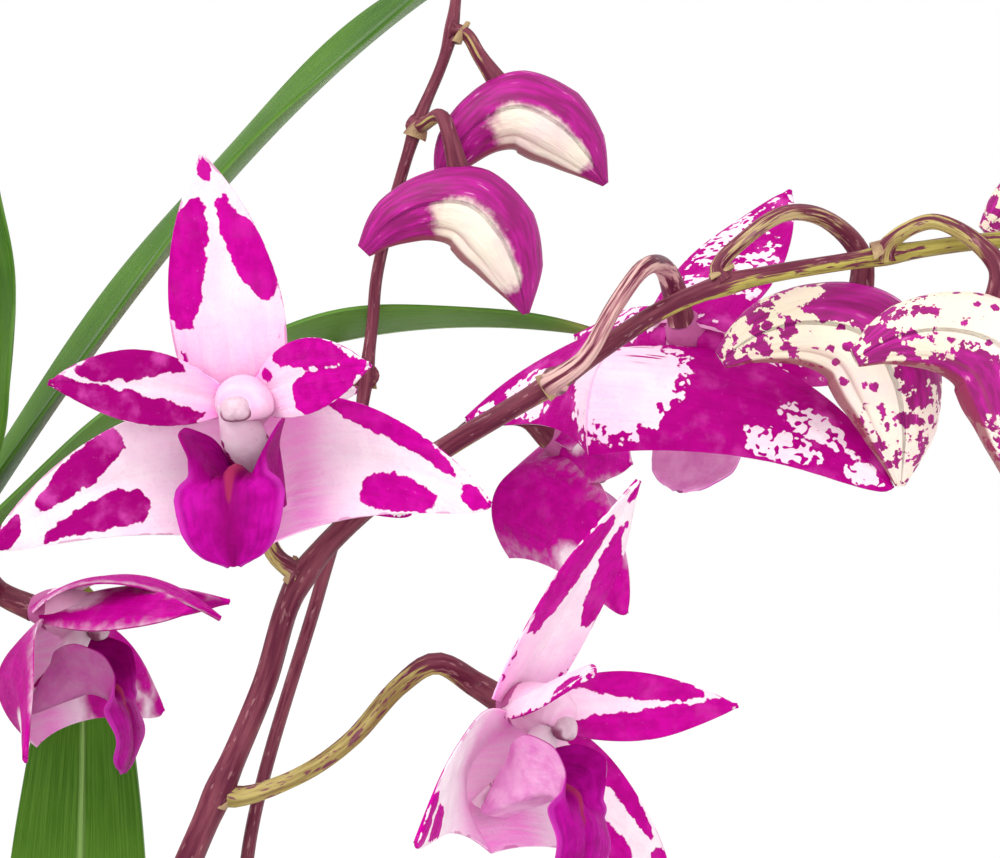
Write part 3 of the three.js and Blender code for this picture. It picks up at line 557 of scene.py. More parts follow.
def sheath_surface(t, v, name, low, high, turn):
    """A torn sheath round the cane from low to high, as shares of its length."""
    around = turn + v * pi * 0.95
    torn = 0.1 * np.sin(around * 2 + turn) + 0.06 * np.sin(around * 7) + 0.05 * np.sin(around * 17 + turn)
    share = low + (high - low) * (1 + torn - 0.5 * np.abs(v) ** 5) * t
    flare = 0.35 * np.minimum(t / 0.1, 1) - 0.12 + 0.4 * t**3 + 0.2 * np.abs(v) ** 8
    out = cane_girth(name, share) + flare
    return read_off(share, cane_line(name, 160)[0]) + spot(out * np.cos(around), out * np.sin(around), 0)


stems = stem_tree()
new_finish("cane_skin", IOR=1.45, Subsurface_Weight=0.08, Subsurface_Radius=(0.003, 0.004, 0.001))
age = read("along") + grain(12) * 0.05
streaks = grain(1.0, 3, at=round_and_along(6, 9))
body = layers(
    "8A7A45", (age.rise(0.03, 0.13), "6E8A3A"), (streaks.rise(0.35, 0.7, top=0.55), "A3A765"),
    (read("joint").rise(0.35, 0.95), "6B4A2E"), (grain(9, 4).rise(0.52, 0.72, top=0.45), "7A3F3E"),
)
cane_skin = finished(body, streaks.rise(bottom=0.38, top=0.6), (streaks, 0.25))
new_finish("papery_sheath", IOR=1.4)
fibres = grain(0.5, 4, at=round_and_along(6, 14))
body = layers("8F7F5E", (fibres, "BDB292"), (grain(5, 4).rise(0.45, 0.7, top=0.8), "6F5B3C"))
paper = finished(body, fibres.rise(bottom=0.55, top=0.8), (fibres, 0.3))
for order, name in enumerate(CANES):
    line, length = cane_line(name, CANE_STEPS)
    share = np.linspace(0, 1, CANE_STEPS + 1)
    joints = int(length / JOINT_SPACING)
    to_joint = np.abs((share * joints + 0.5) % 1 - 0.5) / joints * length
    ring = hump(to_joint, 0, 1.1) * (share < 0.97)
    girth = cane_girth(name, share) * (1 - 0.035 * np.cos(share * joints * 2 * pi)) + 0.45 * ring - 0.25
    # The tip closes in a low cone, from which the youngest leaves and the flower stem come.
    rises = np.linspace(0, 1, 13)[1:]
    ahead = (line[-1] - line[-2]) / length * CANE_STEPS
    line = np.concatenate([line, line[-1] + rises[:, None] * ahead * 3.4])
    girth = np.append(girth, np.maximum(girth[-1] * np.sqrt(1 - rises**1.6), 0.15))
    joint, ribbed = {"joint": np.append(ring, 0 * rises)}, (CANE_SIDES, CANE_RIBS, RIB_DEPTH)
    place(grow_stem(name + "_skin", [(line, girth)], cane_skin, *ribbed, joint), name)
    wraps = []
    for k in range(1, min(joints - 1, 6)):
        if k > 1 and (2 * k + order) % 5 == 0:
            continue
        low, high = (k - 0.01) / joints, (k + (0.98, 0.7, 1.12, 0.5)[(k + order) % 4]) / joints
        wrapped = (name, low, high, 2.1 * k + order)
        points, faces, facts = sheet(sheath_surface, *SHEATH_MESH, SHEATH_THICKNESS, THIN_EDGE, *wrapped)
        around = spot(np.cos(facts["v"] * pi), np.sin(facts["v"] * pi), 0)
        facts = {"around": around, "along": (low + facts["t"] / joints) * length * MM}
        wraps.append((points, faces, facts))
    place(piece(name + "_sheaths", *gathered(wraps), paper), name)

# Leaves
# Long leathery straps, folded along the rib, two to four near the tip of each cane. The upper
# face is mid green with a pale rib and fine parallel veins, and the underside is paler.
LEAF_THICKNESS, LEAF_MESH = 0.8, (64, 16)
LEAF_FOLD, LEAF_BLUNTNESS = 0.28, 0.62
FINE_STEPS = 400
# Start, bend and tip, then half width, fold, turn about the rib and bluntness
PLACED_LEAVES = (
    (((-24.6, 18.5, 289), (7.4, 22, 342.1), (36, 26, 346.3)), 4.9, LEAF_FOLD, 9, LEAF_BLUNTNESS),
    (((-22.4, 14.6, 288.5), (-1.5, 17, 312.8), (28.9, 17, 308.2)), 4.8, LEAF_FOLD, -10, LEAF_BLUNTNESS),
    (((-28.2, 14.6, 287.2), (-15.5, 13, 300), (-22, 12, 326)), 2.8, LEAF_FOLD, 64, LEAF_BLUNTNESS),
    (((-13.4, -15.2, 221.5), (-12.6, 8, 250), (-13, 13, 287)), 6, 0.35, 0, 0.45),
)
# Cane, heading from +X, rise, length, droop, half width and distance back from the tip
CANE_LEAVES = (
    ("tall", 158, 48, 90, 62, 6.6, 9), ("tall", 236, 30, 78, 66, 6.4, 14),
    ("front", 262, 20, 72, 58, 7, 6), ("front", 318, 2, 74, 36, 7, 11),
    ("left", 196, 34, 88, 62, 7.2, 4), ("left", 246, 18, 80, 50, 6.8, 9),
    ("left", 148, 24, 80, 56, 6.6, 14), ("middle", 22, 16, 78, 50, 6.4, 5),
    ("middle", 66, 30, 80, 62, 6.8, 11), ("right", 352, 46, 84, 74, 7.2, 3),
    ("right", 52, 34, 76, 66, 6.6, 8), ("right", 286, 24, 70, 60, 6.6, 13),
    ("low", 346, 36, 72, 70, 6.4, 3), ("low", 252, 30, 64, 56, 6, 8),
    ("rear", 150, 50, 84, 72, 7, 3), ("rear", 76, 40, 76, 66, 6.4, 8),
    ("rear", 206, 10, 70, 44, 6.4, 15), ("old", 40, 50, 64, 72, 5.8, 3),
)


def bezier(a, b, c, t):
    t = np.asarray(t)[..., None]
    return (1 - t) ** 2 * np.array(a) + 2 * t * (1 - t) * np.array(b) + t * t * np.array(c)


def cane_leaf_line(cane, heading, rises, length, droop, back):
    line, full = cane_line(cane, FINE_STEPS)
    share = 1 - back / full
    heading, rises, droop = np.radians((heading, rises, droop))
    level = np.array([cos(heading), sin(heading), 0])
    ends = [line[int(round(share * FINE_STEPS))] + level * (cane_girth(cane, share) - 0.6)]
    for slope in (rises, rises - droop):
        ends.append(ends[-1] + (level * cos(slope) + (0, 0, sin(slope))) * length / 2)
    return ends


def leaf_surface(t, v, line, half_width, fold, turn, blunt, seed):
    start, bend, tip = (np.array(p, float) for p in line)
    run = unit((tip - start) * (1, 1, 0))
    at = bezier(start, bend, tip, t)
    ahead = unit(bezier(start, bend, tip, t + 0.01) - at)
    level = np.array([-run[1], run[0], 0])
    tilt = np.cross(ahead, np.broadcast_to(level, ahead.shape))
    side = level * cos(radians(turn)) + tilt * sin(radians(turn))
    width = half_width * np.maximum(np.sin(pi * (0.14 + 0.86 * t)) ** blunt, 0.04)
    width = width * (1 + 0.03 * np.sin(9 * t + seed))
    keel = np.sqrt(v * v + 0.02) - 0.14
    folded = fold * (1 + 1.4 * np.exp(-t / 0.05))
    wave = 0.35 * np.sin(17 * t + 2 * seed + 1.5 * v) * np.abs(v) ** 3 * np.sin(pi * t)
    drop = wave - width * folded * keel
    return at + side * (width * v)[..., None] + np.cross(side, ahead) * drop[..., None]


new_finish(
    "leaf_green", Specular_IOR_Level=0.12, Subsurface_Weight=0.1, Subsurface_Radius=(0.0008, 0.002, 0.0004)
)
v, t = read("v"), read("t")
veins = grain(0.55, 2, at=add("ShaderNodeCombineXYZ", {"X": v * 0.02, "Y": t * 0.004}))
rib = maths("ABSOLUTE", v).rise(0.1, 0.02)
body = layers(
    "335E10", (grain(18, 3).rise(0.35, 0.65), "4A7617"), (veins.rise(0.4, 0.62, top=0.3), "678F34"),
    (rib * 0.5, "9CC070"), (t.rise(0.93, 1.0, top=0.7), "8B7A3C"), ((1.0 - read("side")) * 0.3, "83AB60"),
    (grain(2.2, 5, 0.65).rise(0.7, 0.76, top=0.25), "52602E"),
)
leaf_green = finished(body, veins.rise(bottom=0.3, top=0.44), (veins, 0.12), (rib, 0.25))
leaf_shapes = [(*leaf, 0.7 * k) for k, leaf in enumerate(PLACED_LEAVES)]
for k, (cane, heading, rises, length, droop, half_width, back) in enumerate(CANE_LEAVES):
    line = cane_leaf_line("cane_" + cane, heading, rises, length, droop, back)
    leaf_shapes.append((line, half_width, LEAF_FOLD, 0, LEAF_BLUNTNESS, 1.3 * k))
for k, shape in enumerate(leaf_shapes, 1):
    blade = sheet(leaf_surface, *LEAF_MESH, LEAF_THICKNESS, 0.4, *shape)
    place(piece(f"leaf_{k:02d}_blade", *blade, leaf_green), f"leaf_{k:02d}")

# Flowers' places
# Where each bloom's middle is, how it faces (azimuth, elevation, roll) and, in degrees, how far
# its left and right petals sweep forward and how steeply the two side lobes of its lip stand.
# Then how far its tips have moved with age, which way its petals' width points, and how far
# its hood, chin and lip lie off their middle. A bud has a size.
BLOOMS = {
    "bloom_face": {
        "at": (2.6, -35, 301.8), "face": (-2, 0, 4.7), "sweeps": (26, 44), "curls": (60, 66),
        "bends": {"dorsal": (-0.6, 0, 0), "right_petal": (0, -0.7, 0)},
        "hood": (1.1, -0.9, 0), "chin": (1.2, 0, 0), "lip": (-0.5, 0, 0),
    },
    "bloom_side": {
        "at": (23.5, -31, 279.3), "face": (56, -7.4, -9.5), "sweeps": (55, 46),
        "bends": {
            "dorsal": (0.5, 0.5, 0.9), "left_sepal": (0.1, -1.5, 0.3), "right_sepal": (-0.1, -1.2, -0.1),
            "left_petal": (-0.3, 1.1, -0.5), "right_petal": (0.8, 1.2, 1.4),
        },
        "twists": ((0.1, 1, 0.9), (-0.1, 1, -0.5)),
    },
    "bloom_back": {
        "at": (35.6, -17, 306.5), "face": (156, -34, 9), "sweeps": (24, 24),
        "bends": {"dorsal": (-0.7, 0, 0), "left_sepal": (-0.9, 1, 0), "right_sepal": (0, 1.2, -0.5)},
        "chin": (3.6, -1.1, 0), "lip": (-0.4, 2.5, 0.5),
    },
    "bloom_left": {
        "at": (-13.2, -5, 285.1), "face": (78, -6.5, 2), "sweeps": (72, 74),
        "bends": {"dorsal": (0, -16, 9)}, "twists": ((0.85, 0.6, 0), (-0.85, 0.6, 0)),
    },
    "bloom_far": {"at": (27.3, 26, 297.9), "face": (111, -21.8, 13.5), "sweeps": (0, 30)},
    "bloom_top_left": {"at": (-58, -26, 300), "face": (-48, 2, -4), "sweeps": (28, 28)},
    "bloom_low_left": {"at": (-56, -8, 272), "face": (-120, -8, 6), "sweeps": (24, 30)},
    "bloom_rear": {"at": (-4, 44, 302), "face": (176, -2, 3), "sweeps": (30, 34)},
}
BUDS = {
    "bud_large": {"at": (47.9, -26.5, 310.6), "face": (0, 0, 0), "size": 1},
    "bud_edge": {"at": (56.8, -35, 309.4), "face": (6, 0, -5), "size": 0.95},
    "bud_upper": {"at": (65, -22, 321), "face": (0, 0, 12), "size": 0.84},
    "bud_end": {"at": (77, -29, 309), "face": (20, 0, 28), "size": 0.62},
    "bud_far_upper": {"at": (21, 12, 329), "face": (0, 0, 35), "size": 0.84},
    "bud_far_lower": {"at": (17.9, 7.5, 321.4), "face": (0, 0, 14), "size": 0.88},
    "bud_far_tip": {"at": (23.4, 13, 346.4), "face": (-20, 0, 10), "size": 0.6},
    "bud_left_upper": {"at": (-29, -23, 317), "face": (30, 0, 8), "size": 0.8},
    "bud_left_tip": {"at": (-58, -20, 330), "face": (190, 0, 10), "size": 0.6},
}
STRAIGHT = (0, 0, 0)
# What a bloom has where its own entry doesn't say
USUAL = {
    "curls": (62, 62), "bends": {}, "twists": ((0.1, 1, 0), (-0.1, 1, 0)),
    "hood": STRAIGHT, "chin": STRAIGHT, "lip": STRAIGHT,
}
BLOOMS = {name: {**USUAL, **bloom} for name, bloom in BLOOMS.items()}


def placed(points, flower):
    """Points on the flower's own axes, right, up and out of its face, as points of the plant."""
    azimuth, elevation, roll = (radians(a) for a in flower["face"])
    out = np.array([sin(azimuth) * cos(elevation), -cos(azimuth) * cos(elevation), sin(elevation)])
    level = unit(np.cross((0, 0, 1), out))
    right = level * cos(roll) + np.cross(out, level) * sin(roll)
    return np.asarray(points) @ np.stack([right, np.cross(out, right), out]) + flower["at"]


# Flower stems
# Three arching stems leave the cane tips. Each is purple-brown below and olive with purple
# streaks and freckles above, and a small dry bract sits under every flower's stalk. Ripe is
# where along X the purple has half turned to olive.
RACEMES = {
    "raceme_front": {
        "line": (
            (-14, -19.2, 224.5), (-9, -24, 250), (-1.7, -27.5, 267.7), (4, -28, 280.9),
            (6.8, -28.2, 289), (14.1, -29, 296.3), (24.7, -30.4, 303), (35.2, -31, 309.6),
            (48.2, -31, 312.4), (60, -31, 313.8), (74, -30.6, 312.6),
        ),
        "girths": (1.5, 1.35, 1.2, 1.05, 0.9, 0.85, 0.78, 0.7, 0.62, 0.6, 0.5),
        "ripe": 44,
        "stalks": {
            "bloom_face": ((4.9, -27.5, 290.8), (3.7, -27, 294.8)),
            "bloom_side": (
                (2.2, -27.6, 273.1), (6.8, -28, 274.7), (10.5, -28.5, 277.3), (14.1, -29, 281.3),
                (16.7, -30, 283),
            ),
            "bloom_back": (
                (25.2, -31.9, 303.4), (27.4, -32.4, 305), (29.7, -32.9, 308.9), (31.5, -32.4, 311.4),
                (32.9, -29, 312),
            ),
            "bud_large": ((37.2, -30.6, 311.6), (39.3, -30.4, 313.9), (42, -30, 315.6), (45, -28.4, 315.4)),
            "bud_edge": ((49.4, -31.4, 313.2), (50.8, -31.8, 314.4), (53, -33, 314.9)),
            "bud_upper": ((59.4, -30.4, 317), (60.6, -28.6, 321), (62.6, -25, 324.4)),
            "bud_end": ((73.4, -30.6, 313), (75.6, -30, 313.2)),
        },
    },
    "raceme_far": {
        "line": (
            (4, 12, 230.5), (0.6, 12, 250), (0.6, 11.5, 265), (6.5, 11.5, 286.7), (9, 12, 295.8),
            (10.8, 12, 308.2), (11.3, 12, 313.1), (14.4, 12, 324.7), (17.2, 12, 332.1), (18.4, 12.6, 344),
        ),
        "girths": (1.1, 0.75, 0.6, 0.55, 0.55, 0.55, 0.5, 0.5, 0.45, 0.4),
        "ripe": 100,
        "stalks": {
            "bloom_far": ((10.2, 13.6, 293.6), (13, 16, 295.2), (16.3, 19, 297.8), (19.7, 22, 300.6)),
            "bloom_rear": ((10, 15, 304.5), (4, 24, 307), (-2, 34, 306.2)),
            "bud_far_lower": ((15, 11, 325), (16.6, 8.6, 325.6)),
            "bud_far_upper": ((18.6, 12, 332.6),),
            "bud_far_tip": ((19.4, 12.8, 347.4),),
        },
    },
    "raceme_left": {
        "line": (
            (-45, -16, 232.5), (-41, -15, 252), (-34, -14, 270), (-30, -15, 288), (-32, -17, 304),
            (-42, -19, 318), (-51, -20, 327),
        ),
        "girths": (1.3, 1.15, 1, 0.9, 0.75, 0.6, 0.5),
        "ripe": 100,
        "stalks": {
            "bloom_left": ((-27, -12.6, 290.4), (-20, -8, 290)),
            "bloom_top_left": ((-36, -16, 308), (-42, -14, 311), (-50, -15, 308)),
            "bloom_low_left": ((-37.6, -12.6, 272), (-44, -10, 277)),
            "bud_left_upper": ((-32.6, -18, 310), (-30.8, -21, 317.4)),
            "bud_left_tip": ((-55, -20, 331.4),),
        },
    },
}
BLOOM_STALK = (0.75, 0.62, 0.62, 0.7, 0.85, 1.05)
BUD_STALK = (0.65, 0.55, 0.58, 0.66, 0.8, 1.0)
RACEME_STEPS, STALK_STEPS = 220, 40
RIPENING = 34
BRACT_THICKNESS, BRACT_MESH = 0.22, (12, 10)


def nearest(line, to):
    return int(np.argmin(np.linalg.norm(line - np.array(to), axis=1)))


def stalk_line(main, name, route):
    """Out of the main stem, by the way-points, and into the back of the bloom or bud."""
    ends = [(0, 2.2, 0), (0, -1.2, 0)] if name in BUDS else [(0, 1.4, -5.05), (0, 0.5, -2.2)]
    way = [main[nearest(main, route[0])], *route, *placed(ends, {**BLOOMS, **BUDS}[name])]
    return smooth_line(way, STALK_STEPS)[0]


def bract_surface(t, v, root, away, up):
    """A cupped, pointed scale that clasps the stem under a stalk."""
    out = unit(np.cross(up, away))
    width = 1.05 * np.cos(t * pi / 2) ** 0.7 + 0.04
    curl = v * 1.25 * (1 - 0.45 * t)
    reach = 0.95 + 0.4 * t**1.4
    wrap = np.cross(out, up) * (reach * np.cos(curl))[..., None] + out * (width * np.sin(curl))[..., None]
    return root + wrap + up * (1.9 * t - 1.0)[..., None]


new_finish(
    "flower_stem", Specular_IOR_Level=0.14, Subsurface_Weight=0.1, Subsurface_Radius=(0.002, 0.001, 0.0006)
)
streaks = grain(0.5, 3, 0.6, at=round_and_along(0.9, 10))
dashes = grain(0.42, 2, 0.5, at=round_and_along(1.1, 3.2))
# The pale dashes on the purple part of the stem are painted highlights. On the olive part the dashes are
# dark freckles.
purple = layers("5A1A32", (streaks.rise(), "80404E"), (dashes.rise(0.62, 0.7, top=0.4), "BE8E90"))
olive = layers("87783A", (streaks.rise(), "B3A655"), (dashes.rise(0.56, 0.62), "6A2C40"))
rosy = layers("9C5E6C", (streaks.rise(0.4, 0.6), "D8AFA8"))
wander = streaks.rise(bottom=-0.3, top=0.3) + read("upper") * -0.3
body = layers(purple, ((read("ripe") + wander).rise(0.38, 0.6), layers(olive, (read("rosy"), rosy))))
stem_skin = finished(body, streaks.rise(bottom=0.36, top=0.55), (streaks, 0.12))
new_finish("dry_bract", IOR=1.4)
fibres = grain(0.5, 3)
husk = layers("8E6B4A", (fibres, "C9B083"), (grain(2).rise(0.5, 0.65, top=0.6), "6E3B3C"))
bract_husk = finished(husk, fibres.rise(bottom=0.5, top=0.75), (fibres, 0.2))
for name, raceme in RACEMES.items():
    line, length = smooth_line(raceme["line"], RACEME_STEPS)
    share, to_tip = np.linspace(0, 1, RACEME_STEPS + 1), np.linspace(0, 1, STALK_STEPS + 1)
    girth = read_off(share, raceme["girths"])
    ripe = np.clip((line[:, 0] - raceme["ripe"]) / RIPENING + 0.5, 0, 1)
    paths, ripeness, rosy, bracts = [(line, girth)], [ripe], [0 * ripe], []
    for flower, route in raceme["stalks"].items():
        stalk = stalk_line(line, flower, route)
        stalk_girth = read_off(to_tip, BUD_STALK if flower in BUDS else BLOOM_STALK)
        stalk_girth[:4] += (0.35, 0.22, 0.1, 0.03)
        paths.append((stalk, stalk_girth))
        # A stalk is greenest near its root and darkens where it meets its flower.
        tone = {"bloom_side": 0.95, "bud_large": 0.55}.get(flower, 0.7)
        tone = {"raceme_far": 0.25, "raceme_left": 0.5}.get(name, tone)
        ripeness.append(tone * np.interp(to_tip, (0, 0.25, 0.6, 0.85), (0.6, 1, 0.85, 0)))
        rosy.append(0 * to_tip + {"bloom_back": 1.0, "bud_large": 0.35}.get(flower, 0.15))
        root = nearest(line, stalk[0])
        girth += 0.16 * hump((share - share[root]) * length, 0, 1.6)
        up = unit(line[min(root + 3, RACEME_STEPS)] - line[max(root - 3, 0)])
        clasped = (stalk[0], stalk[4] - stalk[0], up)
        bracts.append(sheet(bract_surface, *BRACT_MESH, BRACT_THICKNESS, THIN_EDGE, *clasped))
    tones = {"ripe": np.concatenate(ripeness), "rosy": np.concatenate(rosy)}
    place(grow_stem(name + "_stem", paths, stem_skin, 20, 5, 0.03, tones), name)
    points, faces, _ = gathered(bracts)
    place(piece(name + "_bracts", points, faces, {}, bract_husk), name)

# Sepals and petals
# Five waxy tepals: an upper sepal, two narrow petals, and two broad lower sepals that meet in
# a chin. They are white flushed with pink, and magenta bands with ragged edges cross them.
TEPAL_THICKNESS, TEPAL_LENGTH, TEPAL_MESH = 0.45, 17.5, (64, 30)
# Half width, where its curve starts and how blunt it is, then its cup at the base and along it
TEPAL_SHAPES = {
    "dorsal": (4.1, 0.28, 0.8, 0.3, 0.5), "sepal": (4.9, 0.5, 0.6, 3.1, 0.5),
    "petal": (2.65, 0.12, 0.85, 0.2, 0.6),
}
# Bands as rows of place along the tepal, then the low and high edge across it, -1 to 1
TIP_BAND = ((0.9, -0.3, 0.5), (0.94, -0.9, 0.85), (1.05, -1, 1))
OUTER_PETAL_BAND = (
    (0.22, 0.75, 0.92), (0.3, 0.5, 1.1), (0.42, 0.3, 1.1), (0.55, 0.16, 1.1), (0.7, 0.12, 1.1),
    (0.8, 0.2, 0.95), (0.86, 0.45, 0.8),
)
PETAL_BANDS = (
    OUTER_PETAL_BAND,
    ((0.1, -0.88, -0.7), (0.2, -1.1, -0.45), (0.35, -1.1, -0.28), (0.55, -1.1, -0.18),
     (0.78, -1.1, -0.05), (0.88, -1.1, 0.35), (0.94, -0.95, 0.95), (1.05, -0.9, 0.9)),
)
BANDS = {
    "dorsal": (
        ((0.285, -0.9, -0.62), (0.33, -0.97, -0.56), (0.4, -1.1, -0.42), (0.53, -1.1, -0.31),
         (0.69, -1.1, -0.16), (0.78, -0.97, -0.2), (0.83, -0.7, -0.35)),
        ((0.385, 0.68, 0.9), (0.42, 0.5, 0.98), (0.5, 0.34, 1.1), (0.6, 0.24, 1.1),
         (0.68, 0.16, 1.05), (0.76, 0.18, 0.72), (0.82, 0.25, 0.5)),
        ((0.9, -0.3, 0.2), (0.93, -0.75, 0.55), (0.97, -0.6, 0.8), (1.05, -1, 0.8)),
        ((0.8, 0.5, 0.62), (0.815, 0.45, 0.68), (0.83, 0.5, 0.62)),
    ),
    "left_sepal": (
        ((0.5, 0.6, 0.92), (0.53, 0.42, 1.0), (0.61, 0.16, 1.02), (0.7, 0.1, 0.95), (0.78, 0.0, 0.75),
         (0.83, 0.12, 0.5)),
        ((0.42, -0.68, -0.42), (0.46, -0.82, -0.22), (0.54, -0.86, -0.16), (0.66, -0.86, -0.24),
         (0.75, -0.9, -0.45), (0.81, -0.92, -0.66)),
        TIP_BAND,
    ),
    "right_sepal": (
        ((0.34, 0.86, 1.05), (0.45, 0.66, 1.1), (0.55, 0.56, 1.1), (0.7, 0.46, 1.1), (0.84, 0.3, 0.9),
         (0.88, 0.4, 0.7)),
        ((0.47, -0.72, -0.42), (0.5, -0.88, -0.28), (0.62, -0.98, -0.16), (0.74, -0.98, -0.3),
         (0.79, -0.85, -0.5)),
        ((0.9, -0.5, 0.3), *TIP_BAND[1:]),
    ),
    "left_petal": PETAL_BANDS,
    "right_petal": PETAL_BANDS,
    ("bloom_face", "right_petal"): (
        OUTER_PETAL_BAND,
        ((0.36, -0.75, -0.1), (0.42, -1.1, 0.05), (0.55, -1.1, 0.1), (0.75, -1.1, 0.12),
         (0.84, -1.1, 0.35), (0.92, -0.95, 0.8), (1.05, -0.9, 0.9)),
        ((0.12, 0.5, 0.8), (0.16, 0.35, 0.85), (0.21, 0.3, 0.5)),
    ),
    ("bloom_side", "left_sepal"): (
        ((0.68, -0.72, -0.5), (0.71, -0.95, -0.2), (0.77, -1.0, -0.1), (0.83, -0.95, -0.25),
         (0.86, -0.8, -0.5)),
        ((0.83, 0.2, 0.7), (0.88, -0.3, 1), (0.94, -0.9, 1), (1.05, -1, 1)),
    ),
}
# Of each bloom: how magenta its outside is, in millimetres over the edge of its markings, how
# soft that edge is, how much its bands wander, and how far they draw in
COATS = {
    "bloom_face": (-0.9, 0.05, 0, 0), "bloom_side": (-1.2, 0.05, 0.35, 0), "bloom_back": (0.95, 0.06, 1, 0),
    "bloom_left": (1.3, 0.9, 1, -0.8), "bloom_far": (1.5, 1.1, 1, 0), "bloom_top_left": (-0.4, 0.06, 1, 0),
    "bloom_low_left": (0.2, 0.06, 1, 0), "bloom_rear": (-0.1, 0.06, 1, 0),
}
# White places outside, on lower sepals and others: along, across, their half sizes, freckles
BARE_PLACES = (
    (0.08, 0.0, 0.155, 0.84, 0), (0.69, 0.12, 0.13, 0.34, 1), (0.6, -0.62, 0.13, 0.3, 1),
    (0.9, -0.4, 0.07, 0.5, 1),
)
UPPER_BARE_PLACES = (
    (0.42, -0.55, 0.14, 0.42, 1), (0.6, 0.55, 0.2, 0.4, 1), (0.22, 0.3, 0.12, 0.4, 1),
    (0.78, -0.2, 0.06, 0.3, 1),
)


def tepal_line(part, chin, sweeps):
    """The start, bend and tip of a sepal, or of a petal swung forward by its sweep."""
    side, s = (-1, radians(sweeps[0])) if "left" in part else (1, radians(sweeps[1]))
    if "petal" in part:
        spots = ((0, 0, -1.2), (6.2, 1.9, 0.2), (12.6, 2.2, 0.2))
        return [(side * (1.2 + out * cos(s)), 0.3 + up, front + out * sin(s)) for out, up, front in spots]
    if "sepal" in part:
        return np.array((0, -5.4, -4.4)) + chin, (side * 8.5, -2.5, 0.8), (side * 17.6, -8.6, 4)
    return (0, 0.6, -2), (0, 9.5, 1.8), (0, 17.6, 4)


def tepal_width(kind, t):
    half, start, blunt = TEPAL_SHAPES[kind][:3]
    place_on = pi * (start + (1 - start) * np.clip(t, 0, 1))
    return np.maximum(half * np.maximum(np.sin(place_on), 0) ** blunt, 0.12)


def tepal_surface(t, v, kind, line, across, bend, seed):
    (base, control, tip), bend = line, np.array(bend, float)
    base_cup, cup = TEPAL_SHAPES[kind][3:]
    lift = (base_cup * (1 - t) ** 3 + cup * (1 - t)) * v * v
    channel = -0.22 * hump(v, 0, 0.16) * np.sin(pi * t) ** 0.7
    ripple = 0.14 * np.sin(11 * t + seed + 1.2 * np.sign(v)) * np.abs(v) ** 3 * t
    at = bezier(base, control + 0.2 * bend, tip + bend, t)
    at = at + unit(np.array(across)) * (tepal_width(kind, t) * v)[..., None]
    return at + spot(0, 0, lift + channel + ripple)


def eased(t, low, high):
    t = np.clip((t - low) / (high - low), 0, 1)
    return t * t * (3 - 2 * t)


def bands_on(bands, kind, t, v, random, wander):
    """How far inside the nearest band each point is, in millimetres, negative outside."""
    field = np.full(t.shape, -3.0)
    for rows in bands:
        shift = wander * random.normal(0, 1, 2) * (0.02, 0.06)
        at, low, high = np.array(rows).T + shift[[0, 1, 1], None]
        across = np.minimum(v - np.interp(t, at, low), np.interp(t, at, high) - v) * tepal_width(kind, t)
        inside = np.minimum(across, np.minimum(t - at[0], at[-1] - t) * TEPAL_LENGTH)
        field = np.maximum(field, inside)
    return field


def coat_on(kind, t, v, coat, bare):
    """The markings of a tepal's outside, and the share of freckles."""
    field = coat + (0.9 if coat > 1 else -0.4) * hump(t, 0.97, 0.08)
    freckles = 0 * t
    for along, across, long, wide, dotted in bare:
        near = np.hypot((t - along) / long, (v - across) / wide)
        field = np.minimum(field, 2.2 * (near - 1))
        freckles = np.maximum(freckles, dotted * eased(near, 1.3, 0.9))
    rim = 0.12 - (1 - np.abs(v)) * tepal_width(kind, t)
    return np.maximum(field, np.minimum(rim, 0.1)), freckles


